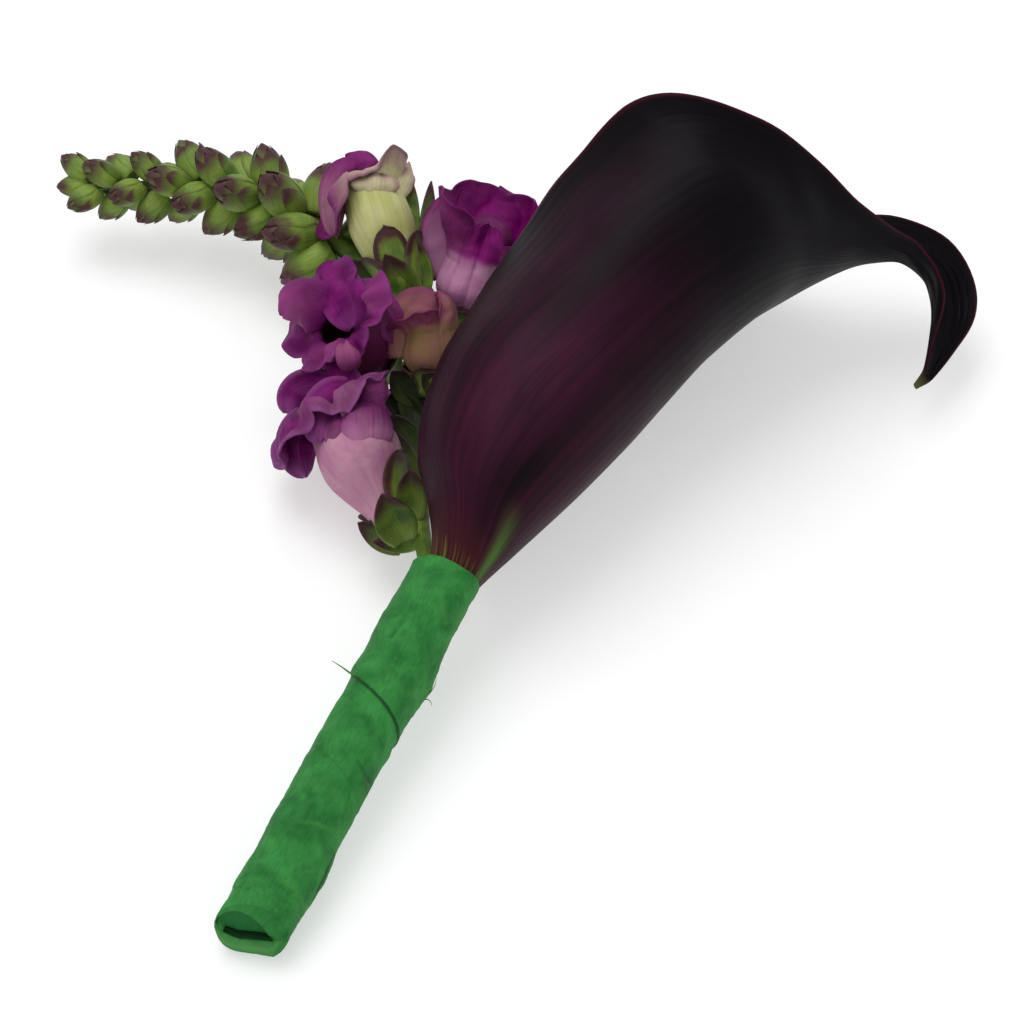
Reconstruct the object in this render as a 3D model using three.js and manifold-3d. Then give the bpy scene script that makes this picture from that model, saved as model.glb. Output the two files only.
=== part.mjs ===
// A buttonhole spray lying on a table: one dark calla lily and one stem of snapdragon,
// bound together in a handle of green floral tape. Millimetres, +Z up, table at z = 0.
import * as THREE from 'three';
import { mergeVertices } from 'three/addons/utils/BufferGeometryUtils.js';
import Module from 'manifold-3d';

const wasm = await Module();
wasm.setup();

const V = (x, y, z) => new THREE.Vector3(x, y, z);
const RAD = Math.PI / 180;

// Driving dimensions of the whole spray
const FOOTPRINT_CENTRE = V(-0.56, 2.31, 0); // moves the origin to the middle of the footprint
const GAP = 0.35; // clearance between neighbouring pieces

// The calla: its place, and the wall of its one rolled leaf
const CALLA_BASE = V(-9.6, -15.8, 17.5); // where the calla leaves the tape
const CALLA_AXIS = V(0.48, 0.85, 0.2); // along the calla's stalk, towards the mouth
const CALLA_BACK = V(0.814, -0.355, -0.459); // from the stalk towards the calla's back
const CALLA_STEM_RADIUS = 3.3;
const SPATHE = { start: -6, end: 129, wall: 0.75, rows: 30, columns: 20 };
const MARGIN_STEP = 0.5; // half the distance between the two overlapping margins
const MARGIN_LAP = { from: 165, over: 25 }; // degrees of wrap over which the margins come apart
const ROLL_START = 0.68; // share of each half that is still flat before its margin rolls
const ROLL_EASE = 1.3;
const HALF_STEPS = 48; // steps in which each half of a cross-section is laid out
const LOW_STRETCH = { share: 0.6, from: 22, full: 70, fade: 82, none: 100 }; // the lower half lies wider
const SPADIX_RADIUS = 2.9;

// The midrib: [length along it, height up the stalk, distance to the back]
const MIDRIB = [
  [-6, -6, 3.1], [0, 0, 3.5], [9.8, 9.7, 6], [29.3, 28.8, 10.8], [45.5, 44.5, 13.8], [58.8, 57.4, 17],
  [71, 69, 21], [80, 77.2, 24.6], [90, 86, 29.6], [95.6, 90.4, 32.9], [101.2, 94, 37],
  [107.5, 94.3, 43], [113, 90.8, 46.9], [118.6, 85.6, 49.3], [125.2, 79.3, 51], [129, 75.8, 50.4],
];
// The spathe across the midrib: [length, radius, degrees that each half wraps, sideways stretch]
const WRAP = [
  [-6, 3.9, 164, 1], [0, 4.2, 172, 0.96], [4.5, 6.4, 188, 0.98], [9.8, 10, 205, 1], [17.9, 13.2, 204, 1],
  [29.3, 15.2, 198, 1.02], [45.5, 15.8, 187, 1.08], [58.8, 17.8, 170, 1.1], [71, 20.1, 145, 1.1],
  [80, 17.8, 114, 1.05], [85, 14.8, 102, 1], [90, 11, 90, 1], [95.6, 8.3, 78, 1],
  [101.2, 7.4, 70, 1], [107.5, 7.5, 68, 1], [113, 7, 68, 1], [118.6, 4.6, 60, 1], [129, 0.9, 30, 1],
];
// How the margins roll outwards and how the tip twists: [length, roll, twist], in degrees
const CURL = [
  [-6, 0, 0], [30, 4, 0], [45.5, 15, 0], [58.8, 30, 0], [71, 50, 0], [80, 58, 0],
  [90, 50, 10], [95.6, 35, 25], [101.2, 15, 40], [107.5, 0, 50], [129, 0, 52],
];

// The handle of floral tape
const HANDLE_END = V(-39.5, -73.2, 5.5); // centre of the folded end of the handle
const HANDLE_RADIUS = 6.2;
const TAPE = { wall: 0.6, step: 0.3, pitch: 13, rings: 28, sides: 20 }; // step: edge of each turn
const END_FOLD = { out: 1.5, wall: 4 }; // the folded end: how far it stands out, how thick it is
const END_SLIT = V(8, 1.6, 1.8);
const END_SLANT = { degrees: 25, below: 1.6 }; // the upper part of the end slopes back
const TOP_TALL = { extra: 0.28, from: 0.6, to: 0.88 }; // the top is taller, for two stems side by side

// The snapdragon's blooms
const BLOOM_WALL = 0.7;
const BLOOM_COLUMNS = 24;
const TUBE_ROWS = 3;
const LIP_ROWS = 7;
const LIP_STEPS = 8; // steps in which each row of the lip is laid out
const TUBE_NARROW = 0.86; // width of a tube over its height
const POUCH = { place: 0.5, spread: 0.3, all: 0.55, lower: 0.45 }; // where and how each tube swells
const RIPPLE = { waves: 7, lean: 0.25, from: 0.5, over: 5 };
const LOBE = { square: 2.6, round: 0.6, blend: 1.5 }; // outline of a lobe, and how it passes to the next
const LEAST_OPENING = 0.9; // radius left between lips that lean in

// The snapdragon's green parts
const STEM_SIDES = 6;
const STEM_RINGS = 34;
// Radius of the spike's stem: thin inside the tape, thicker where it is free, thinner to its tip
const STEM = { hidden: 1.15, free: 1.7, from: 0.3, to: 0.42, taper: 0.4, taperFrom: 0.7 };
const SEPALS = 5;
const CALYX = { foot: 1.1, notch: 0.35, flare: 0.9, narrow: 0.9, rows: 3 };
const STALK = { seat: 0.4, knee: 2.6, foot: 7, thin: 1.1, thick: 1.8, outwards: 0.9 };
const BRACT = { length: 8, width: 3.6, bend: 0.14, fold: 0.3, rows: 4 };
const BUDS = {
  count: 38, turn: 137.5, sway: 20, crowd: 0.9, first: 0.66, last: 0.985,
  root: 1.3, longest: 11.4, shortest: 6.6, vary: 0.08, plump: 0.62,
};
const BUD_LEAN = { first: 0.32, last: 1 }; // how far a bud leans along the stem, over how far it stands out

const COLOUR = {
  tape: 0x2f7d3f,
  callaStem: 0x5d8f3c,
  spathe: 0x2a1226,
  spadix: 0x6b5030,
  spike: 0x6f8f3a,
  magenta: 0x8a2a86,
  deep: 0x6b1a63,
  cream: 0xc9cc98,
};

// A bloom has a tube, a collar round its mouth and lobes beyond the collar. A lobe: degrees round the tube
// (0 is the upper side), half width, length, heading where it leaves the tube, heading at its tip, and the
// millimetres that it takes to bend. Headings: 0 straight on, 90 outwards, 180 folded back, below 0 inwards.
const BLOOMS = [
  { // cream tube with its lips pursed
    base: V(-18.4, 46, 18), mouth: V(-24.2, 64, 22), upper: V(0, 0.65, -0.76), bract: V(0.6, 0.2, 0.8),
    neck: 2.8, throat: 5.8, swell: 0.22, collar: 2, ruffle: 0.5, phase: 0, colour: COLOUR.cream,
    lobes: [
      [180, 46, 3, 0, 176, 4], [-108, 50, 9, 35, 176, 5], [112, 44, 3.6, 20, 55, 5],
      [-38, 50, 3.4, 20, 80, 6], [36, 44, 3, 15, 60, 6],
    ],
    sepals: [6, 8, 8, 6.5, 6],
  },
  { // half hidden behind the calla
    base: V(-9.4, 44, 10.5), mouth: V(-5.8, 50.4, 19), upper: V(0, 0.65, -0.76), bract: V(-0.6, -0.5, 0.6),
    neck: 2.8, throat: 6, swell: 0.25, collar: 2.5, ruffle: 0.3, phase: 1, colour: COLOUR.magenta,
    lobes: [
      [175, 38, 6, -15, -38, 8], [-96, 60, 9.5, 15, 36, 8], [110, 34, 5, -10, 90, 8],
      [-25, 58, 10.5, 5, 36, 10], [34, 50, 10.5, 5, 22, 10],
    ],
    sepals: [6, 5, 4, 5, 6],
  },
  { // deep purple with its mouth half open, turned to the one who looks at it
    base: V(-22, 35.4, 10.2), mouth: V(-27.7, 33.4, 21.6), upper: V(0, 0.79, 0.62), bract: V(0.5, -0.9, 0.1),
    neck: 3, throat: 5.8, swell: 0.25, collar: 4.6, ruffle: 0.8, phase: 2, colour: COLOUR.deep,
    lobes: [
      [-20, 46, 8, -70, 100, 8], [-88, 46, 9, -70, 110, 7], [62, 46, 8.5, -70, 95, 8],
      [124, 36, 4.5, -75, 105, 7], [-145, 38, 5.5, -75, 120, 7], [180, 34, 3.5, -85, 100, 7],
    ],
    sepals: [6, 5, 2, 2, 5],
  },
  { // small and half open, with a hood
    base: V(-12.4, 26.4, 15), mouth: V(-13.3, 33.3, 21.2), upper: V(0.8, 0.4, 0.3), bract: V(0.5, -0.6, 0.6),
    neck: 2.2, throat: 4.2, swell: 0.3, collar: 1.4, ruffle: 0.4, phase: 3, colour: COLOUR.cream,
    lobes: [
      [0, 72, 6, 5, -60, 8], [110, 38, 4, 10, 90, 5], [-110, 38, 4.5, 10, 100, 5], [180, 34, 3.4, 10, 130, 5],
    ],
    sepals: [4, 4, 4, 4, 4],
  },
  { // large, with ruffled lips and a pale pouch
    base: V(-19.8, 1.6, 10.5), mouth: V(-27.8, 19.8, 13.6), upper: V(0, 0.65, -0.76), bract: V(-0.5, -0.7, 0.3),
    neck: 2.9, throat: 7.1, swell: 0.3, collar: 3, ruffle: 0.9, phase: 4, colour: COLOUR.magenta,
    lobes: [
      [172, 46, 6.5, -35, 176, 6], [-112, 50, 11, -5, 150, 8], [-45, 44, 4.6, -5, 60, 9],
      [35, 44, 4, -5, 45, 9], [108, 38, 5, -10, 110, 7],
    ],
    sepals: [7, 9, 3, 3, 6],
  },
];

// Maths helpers
const clamp = (x, low = 0, high = 1) => Math.min(high, Math.max(low, x));
const mix = (a, b, t) => a + (b - a) * t;
const smooth = (low, high, x) => {
  const t = clamp((x - low) / (high - low));
  return t * t * (3 - 2 * t);
};

// A small seeded generator, so that every build gives the same buds
function dice(seed) {
  let state = seed;
  return () => {
    state = (state * 1664525 + 1013904223) % 4294967296;
    return state / 4294967296;
  };
}

// Reads a smooth curve through stations [position, value, value, ...] at one position
function along(stations, position) {
  const last = stations.length - 1;
  let i = 0;
  while (i < last - 1 && stations[i + 1][0] < position) i += 1;
  const slope = (k, c) => {
    const before = stations[Math.max(k - 1, 0)];
    const after = stations[Math.min(k + 1, last)];
    return (after[c] - before[c]) / (after[0] - before[0]);
  };
  const [a, b] = [stations[i], stations[i + 1]];
  const span = b[0] - a[0];
  const t = clamp((position - a[0]) / span);
  return a.slice(1).map((_, k) => {
    const c = k + 1;
    const start = a[c] * (2 * t ** 3 - 3 * t * t + 1) + slope(i, c) * span * (t ** 3 - 2 * t * t + t);
    return start + b[c] * (3 * t * t - 2 * t ** 3) + slope(i + 1, c) * span * (t ** 3 - t * t);
  });
}

// Solid helpers
function toGeometry(points, faces) {
  const places = points.flatMap((p) => [p.x, p.y, p.z]);
  const geometry = new THREE.BufferGeometry();
  geometry.setAttribute('position', new THREE.Float32BufferAttribute(places, 3));
  geometry.setIndex(faces.flat());
  return geometry;
}

function toSolid(geometry) {
  const bare = geometry.clone();
  bare.deleteAttribute('normal');
  bare.deleteAttribute('uv');
  const merged = mergeVertices(bare, 1e-4);
  const vertProperties = new Float32Array(merged.attributes.position.array);
  const triVerts = new Uint32Array(merged.index.array);
  return new wasm.Manifold(new wasm.Mesh({ numProp: 3, vertProperties, triVerts }));
}

function fromSolid(solid) {
  const mesh = solid.getMesh();
  const geometry = new THREE.BufferGeometry();
  geometry.setAttribute('position', new THREE.BufferAttribute(new Float32Array(mesh.vertProperties), 3));
  geometry.setIndex(new THREE.BufferAttribute(new Uint32Array(mesh.triVerts), 1));
  return geometry;
}

const union = (solids) => solids.reduce((whole, next) => whole.add(next));

// The largest body of a solid, with the pockets that joining has sealed filled in
const wholeOf = (solid) => solid.decompose().sort((a, b) => b.volume() - a.volume())[0];

const TABLE = toSolid(new THREE.BoxGeometry(400, 400, 40).translate(0, 0, -20));

const centreOf = (points) => points.reduce((sum, p) => sum.add(p), V(0, 0, 0)).divideScalar(points.length);

// Gives a sheet its wall: the grid is its middle surface, rows of points, seen from the front side.
// A wrapped grid closes on itself round a tube, its front side inwards, and is capped where it starts.
function sheet(grid, wall, wrapped = false) {
  const rows = grid.length;
  const columns = grid[0].length;
  const at = (i, j) => {
    const row = grid[clamp(i, 0, rows - 1)];
    return wrapped ? row[(j + columns) % columns] : row[clamp(j, 0, columns - 1)];
  };
  const front = [];
  const back = [];
  for (let i = 0; i < rows; i += 1) {
    for (let j = 0; j < columns; j += 1) {
      const across = at(i, j + 1).clone().sub(at(i, j - 1));
      const up = at(i + 1, j).clone().sub(at(i - 1, j));
      const normal = across.cross(up).normalize();
      front.push(grid[i][j].clone().addScaledVector(normal, wall / 2));
      back.push(grid[i][j].clone().addScaledVector(normal, -wall / 2));
    }
  }
  const points = [...front, ...back];
  const half = front.length;
  const faces = [];
  const quad = (a, b, c, d) => faces.push([a, b, c], [a, c, d]);
  const wide = wrapped ? columns : columns - 1;
  const id = (i, j) => i * columns + (j % columns);
  for (let i = 0; i < rows - 1; i += 1) {
    for (let j = 0; j < wide; j += 1) {
      quad(id(i, j), id(i, j + 1), id(i + 1, j + 1), id(i + 1, j));
      faces.push([half + id(i, j), half + id(i + 1, j + 1), half + id(i, j + 1)]);
      faces.push([half + id(i, j), half + id(i + 1, j), half + id(i + 1, j + 1)]);
    }
    if (!wrapped) {
      quad(id(i, 0), id(i + 1, 0), half + id(i + 1, 0), half + id(i, 0));
      quad(id(i + 1, wide), id(i, wide), half + id(i, wide), half + id(i + 1, wide));
    }
  }
  const end = rows - 1;
  for (let j = 0; j < wide; j += 1) {
    quad(id(end, j), id(end, j + 1), half + id(end, j + 1), half + id(end, j));
    if (!wrapped) quad(id(0, j + 1), id(0, j), half + id(0, j), half + id(0, j + 1));
  }
  if (wrapped) {
    const outside = centreOf(back.slice(0, columns));
    const inside = centreOf(front.slice(0, columns)).lerp(centreOf(grid[1]), 0.35);
    points.push(inside, outside);
    for (let j = 0; j < columns; j += 1) {
      faces.push([2 * half, id(0, j + 1), id(0, j)]);
      faces.push([2 * half + 1, half + id(0, j), half + id(0, j + 1)]);
    }
  }
  return toGeometry(points, faces);
}

const smoothPath = (path) => new THREE.CatmullRomCurve3(path, false, 'centripetal');

// A round limb along a path, such as a stem, a bud or a spadix. radius(t, angle) is its size.
function limb(path, radius, rings, sides, side = V(0, 0, 1)) {
  const curve = path.length > 2 ? smoothPath(path) : new THREE.LineCurve3(...path);
  const points = [];
  const faces = [];
  for (let i = 0; i <= rings; i += 1) {
    const t = i / rings;
    const centre = curve.getPointAt(t);
    const forward = curve.getTangentAt(t);
    const x = side.clone().addScaledVector(forward, -side.dot(forward)).normalize();
    const y = forward.clone().cross(x);
    for (let j = 0; j < sides; j += 1) {
      const angle = (2 * Math.PI * j) / sides;
      const r = radius(t, angle);
      const rim = centre.clone().addScaledVector(x, r * Math.cos(angle));
      points.push(rim.addScaledVector(y, r * Math.sin(angle)));
    }
  }
  const id = (i, j) => i * sides + (j % sides);
  const first = points.push(curve.getPointAt(0)) - 1;
  const last = points.push(curve.getPointAt(1)) - 1;
  for (let j = 0; j < sides; j += 1) {
    for (let i = 0; i < rings; i += 1) {
      faces.push([id(i, j), id(i, j + 1), id(i + 1, j + 1)]);
      faces.push([id(i, j), id(i + 1, j + 1), id(i + 1, j)]);
    }
    faces.push([first, id(0, j + 1), id(0, j)], [last, id(rings, j), id(rings, j + 1)]);
  }
  return toGeometry(points, faces);
}

// The calla's own frame: along its stalk, towards its back, and towards its raised side
const axis = CALLA_AXIS.clone().normalize();
const back = CALLA_BACK.clone().addScaledVector(axis, -CALLA_BACK.dot(axis)).normalize();
const raised = back.clone().cross(axis);
const callaPoint = (h, b, s) => CALLA_BASE.clone()
  .addScaledVector(axis, h)
  .addScaledVector(back, b)
  .addScaledVector(raised, s);

// One cross-section of the spathe, from the lower margin round the midrib to the raised one
function spatheRow(length) {
  const [h, b] = along(MIDRIB, length);
  const [h1, b1] = along(MIDRIB, length + 0.5);
  const [h0, b0] = along(MIDRIB, length - 0.5);
  const [radius, wrap, stretch] = along(WRAP, length);
  const [roll, twist] = along(CURL, length);
  const forward = V(0, 0, 0).addScaledVector(axis, h1 - h0).addScaledVector(back, b1 - b0).normalize();
  const inward = raised.clone().cross(forward).normalize();
  const across = raised.clone().applyAxisAngle(forward, twist * RAD);
  const open = inward.applyAxisAngle(forward, twist * RAD);
  const middle = callaPoint(h, b, 0);
  const step = (MARGIN_STEP * clamp((wrap - MARGIN_LAP.from) / MARGIN_LAP.over)) / radius;
  const { from, full, fade, none } = LOW_STRETCH;
  const wide = 1 + LOW_STRETCH.share * smooth(from, full, length) * (1 - smooth(fade, none, length));
  const row = [];
  for (let j = 0; j <= SPATHE.columns; j += 1) {
    const u = (2 * j) / SPATHE.columns - 1;
    const sign = u < 0 ? -1 : 1;
    const lap = 1 + sign * step;
    let [x, y] = [0, 0];
    for (let k = 0; k < Math.round(Math.abs(u) * HALF_STEPS); k += 1) {
      const share = (k + 0.5) / HALF_STEPS;
      const rolled = clamp((share - ROLL_START) / (1 - ROLL_START)) ** ROLL_EASE;
      const heading = (wrap * share - roll * rolled) * RAD;
      x += (Math.cos(heading) * radius * wrap * RAD) / HALF_STEPS;
      y += (Math.sin(heading) * radius * wrap * RAD) / HALF_STEPS;
    }
    const sideways = sign * x * lap * stretch * (sign < 0 ? wide : 1);
    row.push(middle.clone().addScaledVector(across, sideways).addScaledVector(open, y * lap));
  }
  return row;
}

function spathe() {
  const grid = [];
  for (let i = 0; i <= SPATHE.rows; i += 1) {
    grid.push(spatheRow(mix(SPATHE.start, SPATHE.end, i / SPATHE.rows)));
  }
  for (const point of grid.flat()) point.z = Math.max(point.z, SPATHE.wall / 2 - 0.05);
  return fromSolid(toSolid(sheet(grid, SPATHE.wall)).subtract(TABLE));
}

// The handle's frame, and the middle of the tape's open top
const handleTop = callaPoint(0.5, -0.9, -1.6);
const handleAxis = handleTop.clone().sub(HANDLE_END).normalize();
const handlePoint = (t, b, s) => HANDLE_END.clone()
  .lerp(handleTop, t)
  .addScaledVector(back, b)
  .addScaledVector(raised, s);

// A sleeve of overlapping turns, open at the top and folded shut at the end
function tape() {
  const reach = handleTop.distanceTo(HANDLE_END);
  const inner = HANDLE_RADIUS - TAPE.step - TAPE.wall;
  const tall = (t, angle) => 1 + TOP_TALL.extra * smooth(TOP_TALL.from, TOP_TALL.to, t) * Math.cos(angle) ** 2;
  const size = (t, angle) => {
    const turn = (t * reach) / TAPE.pitch + angle / (2 * Math.PI);
    const lap = TAPE.step * (1 - (turn - Math.floor(turn)));
    return (inner + TAPE.wall + lap) * tall(t, angle);
  };
  const end = HANDLE_END.clone().addScaledVector(handleAxis, -END_FOLD.out);
  const sleeve = limb([end, handleTop], size, TAPE.rings, TAPE.sides, raised);
  const start = end.clone().addScaledVector(handleAxis, END_FOLD.wall);
  const above = handleTop.clone().addScaledVector(handleAxis, 1);
  const bore = limb([start, above], (t, angle) => inner * tall(t, angle), 10, TAPE.sides, raised);
  const slitFrame = new THREE.Matrix4().makeBasis(back, handleAxis, raised).setPosition(end);
  const slit = new THREE.BoxGeometry(...END_SLIT).applyMatrix4(slitFrame);
  const upward = raised.clone().addScaledVector(handleAxis, -raised.dot(handleAxis)).normalize();
  const tilted = new THREE.Matrix4().makeBasis(handleAxis.clone().cross(upward), handleAxis, upward);
  const slant = new THREE.BoxGeometry(30, 30, 30)
    .translate(0, -15, 15)
    .applyMatrix4(new THREE.Matrix4().makeRotationX(-END_SLANT.degrees * RAD))
    .applyMatrix4(tilted.setPosition(end.clone().addScaledVector(upward, -END_SLANT.below)));
  const parts = [bore, slit, slant].map(toSolid);
  return fromSolid(parts.reduce((whole, part) => whole.subtract(part), toSolid(sleeve)).subtract(TABLE));
}

function callaStem() {
  const lower = [handlePoint(0.06, 0, 1.4), handlePoint(0.5, 0, 1.4)];
  const upper = [callaPoint(-14, -0.9, -0.1), callaPoint(-2.5, -0.9, 0)];
  return limb([...lower, ...upper], (t) => CALLA_STEM_RADIUS * (1 - 0.06 * t), 12, 14);
}

// The finger of tiny flowers inside the spathe
function spadix() {
  const path = [callaPoint(-2, -0.9, 0), callaPoint(14, -2, 0), callaPoint(32, -4, 0), callaPoint(54, -2.5, 0)];
  const round = (t) => Math.sqrt(clamp(1.02 - t ** 6));
  return limb(path, (t) => SPADIX_RADIUS * round(t) * mix(0.75, 1, smooth(0.05, 0.25, t)), 14, 12);
}

// A bloom stands in its own frame: its foot, the direction of its mouth, and the side of its upper lip
function frameOf(bloom) {
  const z = bloom.mouth.clone().sub(bloom.base).normalize();
  const y = bloom.upper.clone().addScaledVector(z, -bloom.upper.dot(z)).normalize();
  const x = y.clone().cross(z);
  return new THREE.Matrix4().makeBasis(x, y, z).setPosition(bloom.base);
}

// Radius of a bloom's tube at share s of its length, towards the given angle from the upper side
function tubeRadius(bloom, s, angle) {
  const swell = bloom.swell * Math.exp(-(((s - POUCH.place) / POUCH.spread) ** 2));
  const neck = mix(bloom.neck, bloom.throat, smooth(-0.1, 0.75, s));
  return neck * (1 + swell * (POUCH.all - POUCH.lower * Math.cos(angle)));
}

// Reach of the petal edge beyond the mouth at an angle, and the blended ways of the lobes near it
function lobeRule(bloom, degrees) {
  let reach = 0;
  let total = 0;
  let ways = [0, 0, 0];
  for (const [middle, half, length, ...lobeWays] of bloom.lobes) {
    const off = (((degrees - middle + 540) % 360) - 180) / half;
    if (Math.abs(off) < 1) reach = Math.max(reach, length * (1 - Math.abs(off) ** LOBE.square) ** LOBE.round);
    const weight = Math.exp(-LOBE.blend * off * off);
    total += weight;
    ways = ways.map((way, k) => way + weight * lobeWays[k]);
  }
  return [bloom.collar + reach, ...ways.map((way) => way / total)];
}

// The middle surface of a bloom: a tube, then a lip whose heading turns as it goes
function bloomGrid(bloom) {
  const grid = Array.from({ length: TUBE_ROWS + LIP_ROWS + 1 }, () => []);
  const tube = bloom.base.distanceTo(bloom.mouth);
  for (let j = 0; j < BLOOM_COLUMNS; j += 1) {
    const angle = (2 * Math.PI * j) / BLOOM_COLUMNS;
    const place = (r, z) => V(TUBE_NARROW * r * Math.sin(angle), r * Math.cos(angle), z);
    for (let i = 0; i <= TUBE_ROWS; i += 1) {
      const s = i / TUBE_ROWS;
      grid[i].push(place(tubeRadius(bloom, s, angle), s * tube));
    }
    let r = tubeRadius(bloom, 1, angle);
    let z = tube;
    const [reach, start, tip, bend] = lobeRule(bloom, angle / RAD);
    const steps = LIP_ROWS * LIP_STEPS;
    for (let k = 1; k <= steps; k += 1) {
      const out = (k * reach) / steps;
      const heading = mix(start, tip, smooth(0, bend, out)) * RAD;
      r += (reach * Math.sin(heading)) / steps;
      z += (reach * Math.cos(heading)) / steps;
      if (k % LIP_STEPS === 0) {
        const free = smooth(RIPPLE.from * bloom.collar, bloom.collar + RIPPLE.over, out);
        const wave = Math.sin(RIPPLE.waves * angle + bloom.phase + RIPPLE.lean * out);
        const ripple = bloom.ruffle * free * wave;
        const wide = Math.max(LEAST_OPENING, r + ripple * Math.cos(heading));
        grid[TUBE_ROWS + k / LIP_STEPS].push(place(wide, z - ripple * Math.sin(heading)));
      }
    }
  }
  const matrix = frameOf(bloom);
  for (const point of grid.flat()) {
    point.applyMatrix4(matrix);
    point.z = Math.max(point.z, BLOOM_WALL / 2 - 0.05);
  }
  return grid;
}

const corolla = (bloom) => toSolid(sheet(bloomGrid(bloom), BLOOM_WALL, true)).subtract(TABLE);

// The spike's main stem, from inside the tape to its tip
const SPIKE_PATH = [
  handlePoint(0.08, 0, -3.7), handlePoint(0.6, 0, -3.7), callaPoint(-6, -3.2, -5.7), callaPoint(0, -3.2, -5.9),
  V(-15.2, 4, 10), V(-13.9, 18, 9), V(-14.2, 31.8, 9.8), V(-15.4, 42, 11), V(-19.5, 50, 12.5),
  V(-25.8, 56, 13), V(-32.3, 61.8, 14), V(-39.4, 67.4, 14.5), V(-47.3, 70.5, 15), V(-55.1, 72.2, 14.5),
  V(-63.4, 73.2, 14), V(-77, 73.4, 13.5),
];

// Five pointed sepals round the foot of a bloom
function calyx(bloom) {
  const matrix = frameOf(bloom);
  const tube = bloom.base.distanceTo(bloom.mouth);
  const columns = 2 * SEPALS;
  const clearance = BLOOM_WALL + GAP;
  const grid = Array.from({ length: CALYX.rows + 1 }, () => []);
  for (let j = 0; j < columns; j += 1) {
    const angle = (2 * Math.PI * j) / columns;
    const lobe = j % 2;
    const length = bloom.sepals[Math.floor(j / 2)];
    for (let i = 0; i <= CALYX.rows; i += 1) {
      const t = i / CALYX.rows;
      const z = mix(-CALYX.foot, length * mix(CALYX.notch, 1, lobe), t);
      const flare = CALYX.flare * t * t * lobe;
      const around = tubeRadius(bloom, clamp(z / tube), angle) + clearance + flare;
      const r = around / Math.cos(Math.PI / columns);
      grid[i].push(V(CALYX.narrow * r * Math.sin(angle), r * Math.cos(angle), z));
    }
  }
  for (const point of grid.flat()) point.applyMatrix4(matrix);
  return toSolid(sheet(grid, BLOOM_WALL, true));
}

// An egg-shaped bud with a pointed tip
function bud(base, direction, length) {
  const tip = base.clone().addScaledVector(direction, length);
  const widest = (BUDS.plump * length) / 2;
  const outline = (t) => Math.max(0.15, widest * Math.sin(Math.PI * (0.2 + 0.8 * t)) ** 0.8);
  return toSolid(limb([base, tip], outline, 3, STEM_SIDES));
}

// A narrow leaf that grows from the stem under a bloom
function bract(base, direction, up) {
  const side = direction.clone().cross(up).normalize();
  const face = side.clone().cross(direction);
  const grid = [];
  for (let i = 0; i <= BRACT.rows; i += 1) {
    const t = i / BRACT.rows;
    const half = Math.max(0.3, (BRACT.width / 2) * Math.sin(Math.PI * (0.15 + 0.85 * t)) ** 0.7);
    const middle = base.clone()
      .addScaledVector(direction, BRACT.length * t)
      .addScaledVector(face, BRACT.bend * BRACT.length * t * t);
    grid.push([-1, 0, 1].map((k) => middle.clone()
      .addScaledVector(side, k * half)
      .addScaledVector(face, BRACT.fold * Math.abs(k) * half)));
  }
  return toSolid(sheet(grid, BLOOM_WALL));
}

// The short stalk that carries a bloom, with a bract at its foot
function stalk(bloom, curve) {
  const z = bloom.mouth.clone().sub(bloom.base).normalize();
  const seat = bloom.base.clone().addScaledVector(z, -GAP - STALK.seat);
  const knee = seat.clone().addScaledVector(z, -STALK.knee);
  const below = bloom.base.clone().addScaledVector(z, -STALK.foot);
  const stations = Array.from({ length: 71 }, (_, k) => curve.getPointAt(mix(STEM.from, 1, k / 70)));
  const foot = stations.reduce((best, p) => (p.distanceTo(below) < best.distanceTo(below) ? p : best));
  const outward = seat.clone().sub(foot).normalize();
  const under = outward.addScaledVector(bloom.bract, STALK.outwards).normalize();
  const rod = limb([foot, knee, seat], (t) => mix(STALK.thin, STALK.thick, t), 4, STEM_SIDES);
  return toSolid(rod).add(bract(foot, under, bloom.bract));
}

// Stem, stalks, calyces and the buds that spiral round the free end, fused to one body.
// A bud that would run into a bloom is left out.
function spike(blooms) {
  const curve = smoothPath(SPIKE_PATH);
  const free = (t) => mix(STEM.hidden, STEM.free, smooth(STEM.from, STEM.to, t));
  const thick = (t) => free(t) * mix(1, STEM.taper, smooth(STEM.taperFrom, 1, t));
  const solids = [toSolid(limb(SPIKE_PATH, thick, STEM_RINGS, STEM_SIDES))];
  for (const bloom of BLOOMS) solids.push(calyx(bloom), stalk(bloom, curve));
  const clear = (solid) => blooms.every((bloom) => solid.intersect(bloom).isEmpty());
  const random = dice(7);
  for (let k = 0; k < BUDS.count; k += 1) {
    const share = k / (BUDS.count - 1);
    const t = mix(BUDS.first, BUDS.last, share ** BUDS.crowd);
    const forward = curve.getTangentAt(t);
    const turn = (k * BUDS.turn + BUDS.sway * (random() - 0.5)) * RAD;
    const turned = V(0, 0, 1).addScaledVector(forward, -forward.z).normalize().applyAxisAngle(forward, turn);
    const lean = mix(BUD_LEAN.first, BUD_LEAN.last, share);
    const direction = turned.clone().addScaledVector(forward, lean).normalize();
    const length = mix(BUDS.longest, BUDS.shortest, share) * mix(1 - BUDS.vary, 1 + BUDS.vary, random());
    const root = curve.getPointAt(t).addScaledVector(turned, BUDS.root);
    const next = bud(root, direction, length);
    if (clear(next)) solids.push(next);
  }
  solids.push(bud(curve.getPointAt(BUDS.last), curve.getTangentAt(1), BUDS.shortest));
  return fromSolid(wholeOf(union(solids)));
}

// Assembly
function piece(name, geometry, colour, roughness) {
  geometry.computeVertexNormals();
  const material = new THREE.MeshStandardMaterial({ color: colour, roughness, metalness: 0 });
  const mesh = new THREE.Mesh(geometry, material);
  mesh.name = name;
  return mesh;
}

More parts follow.
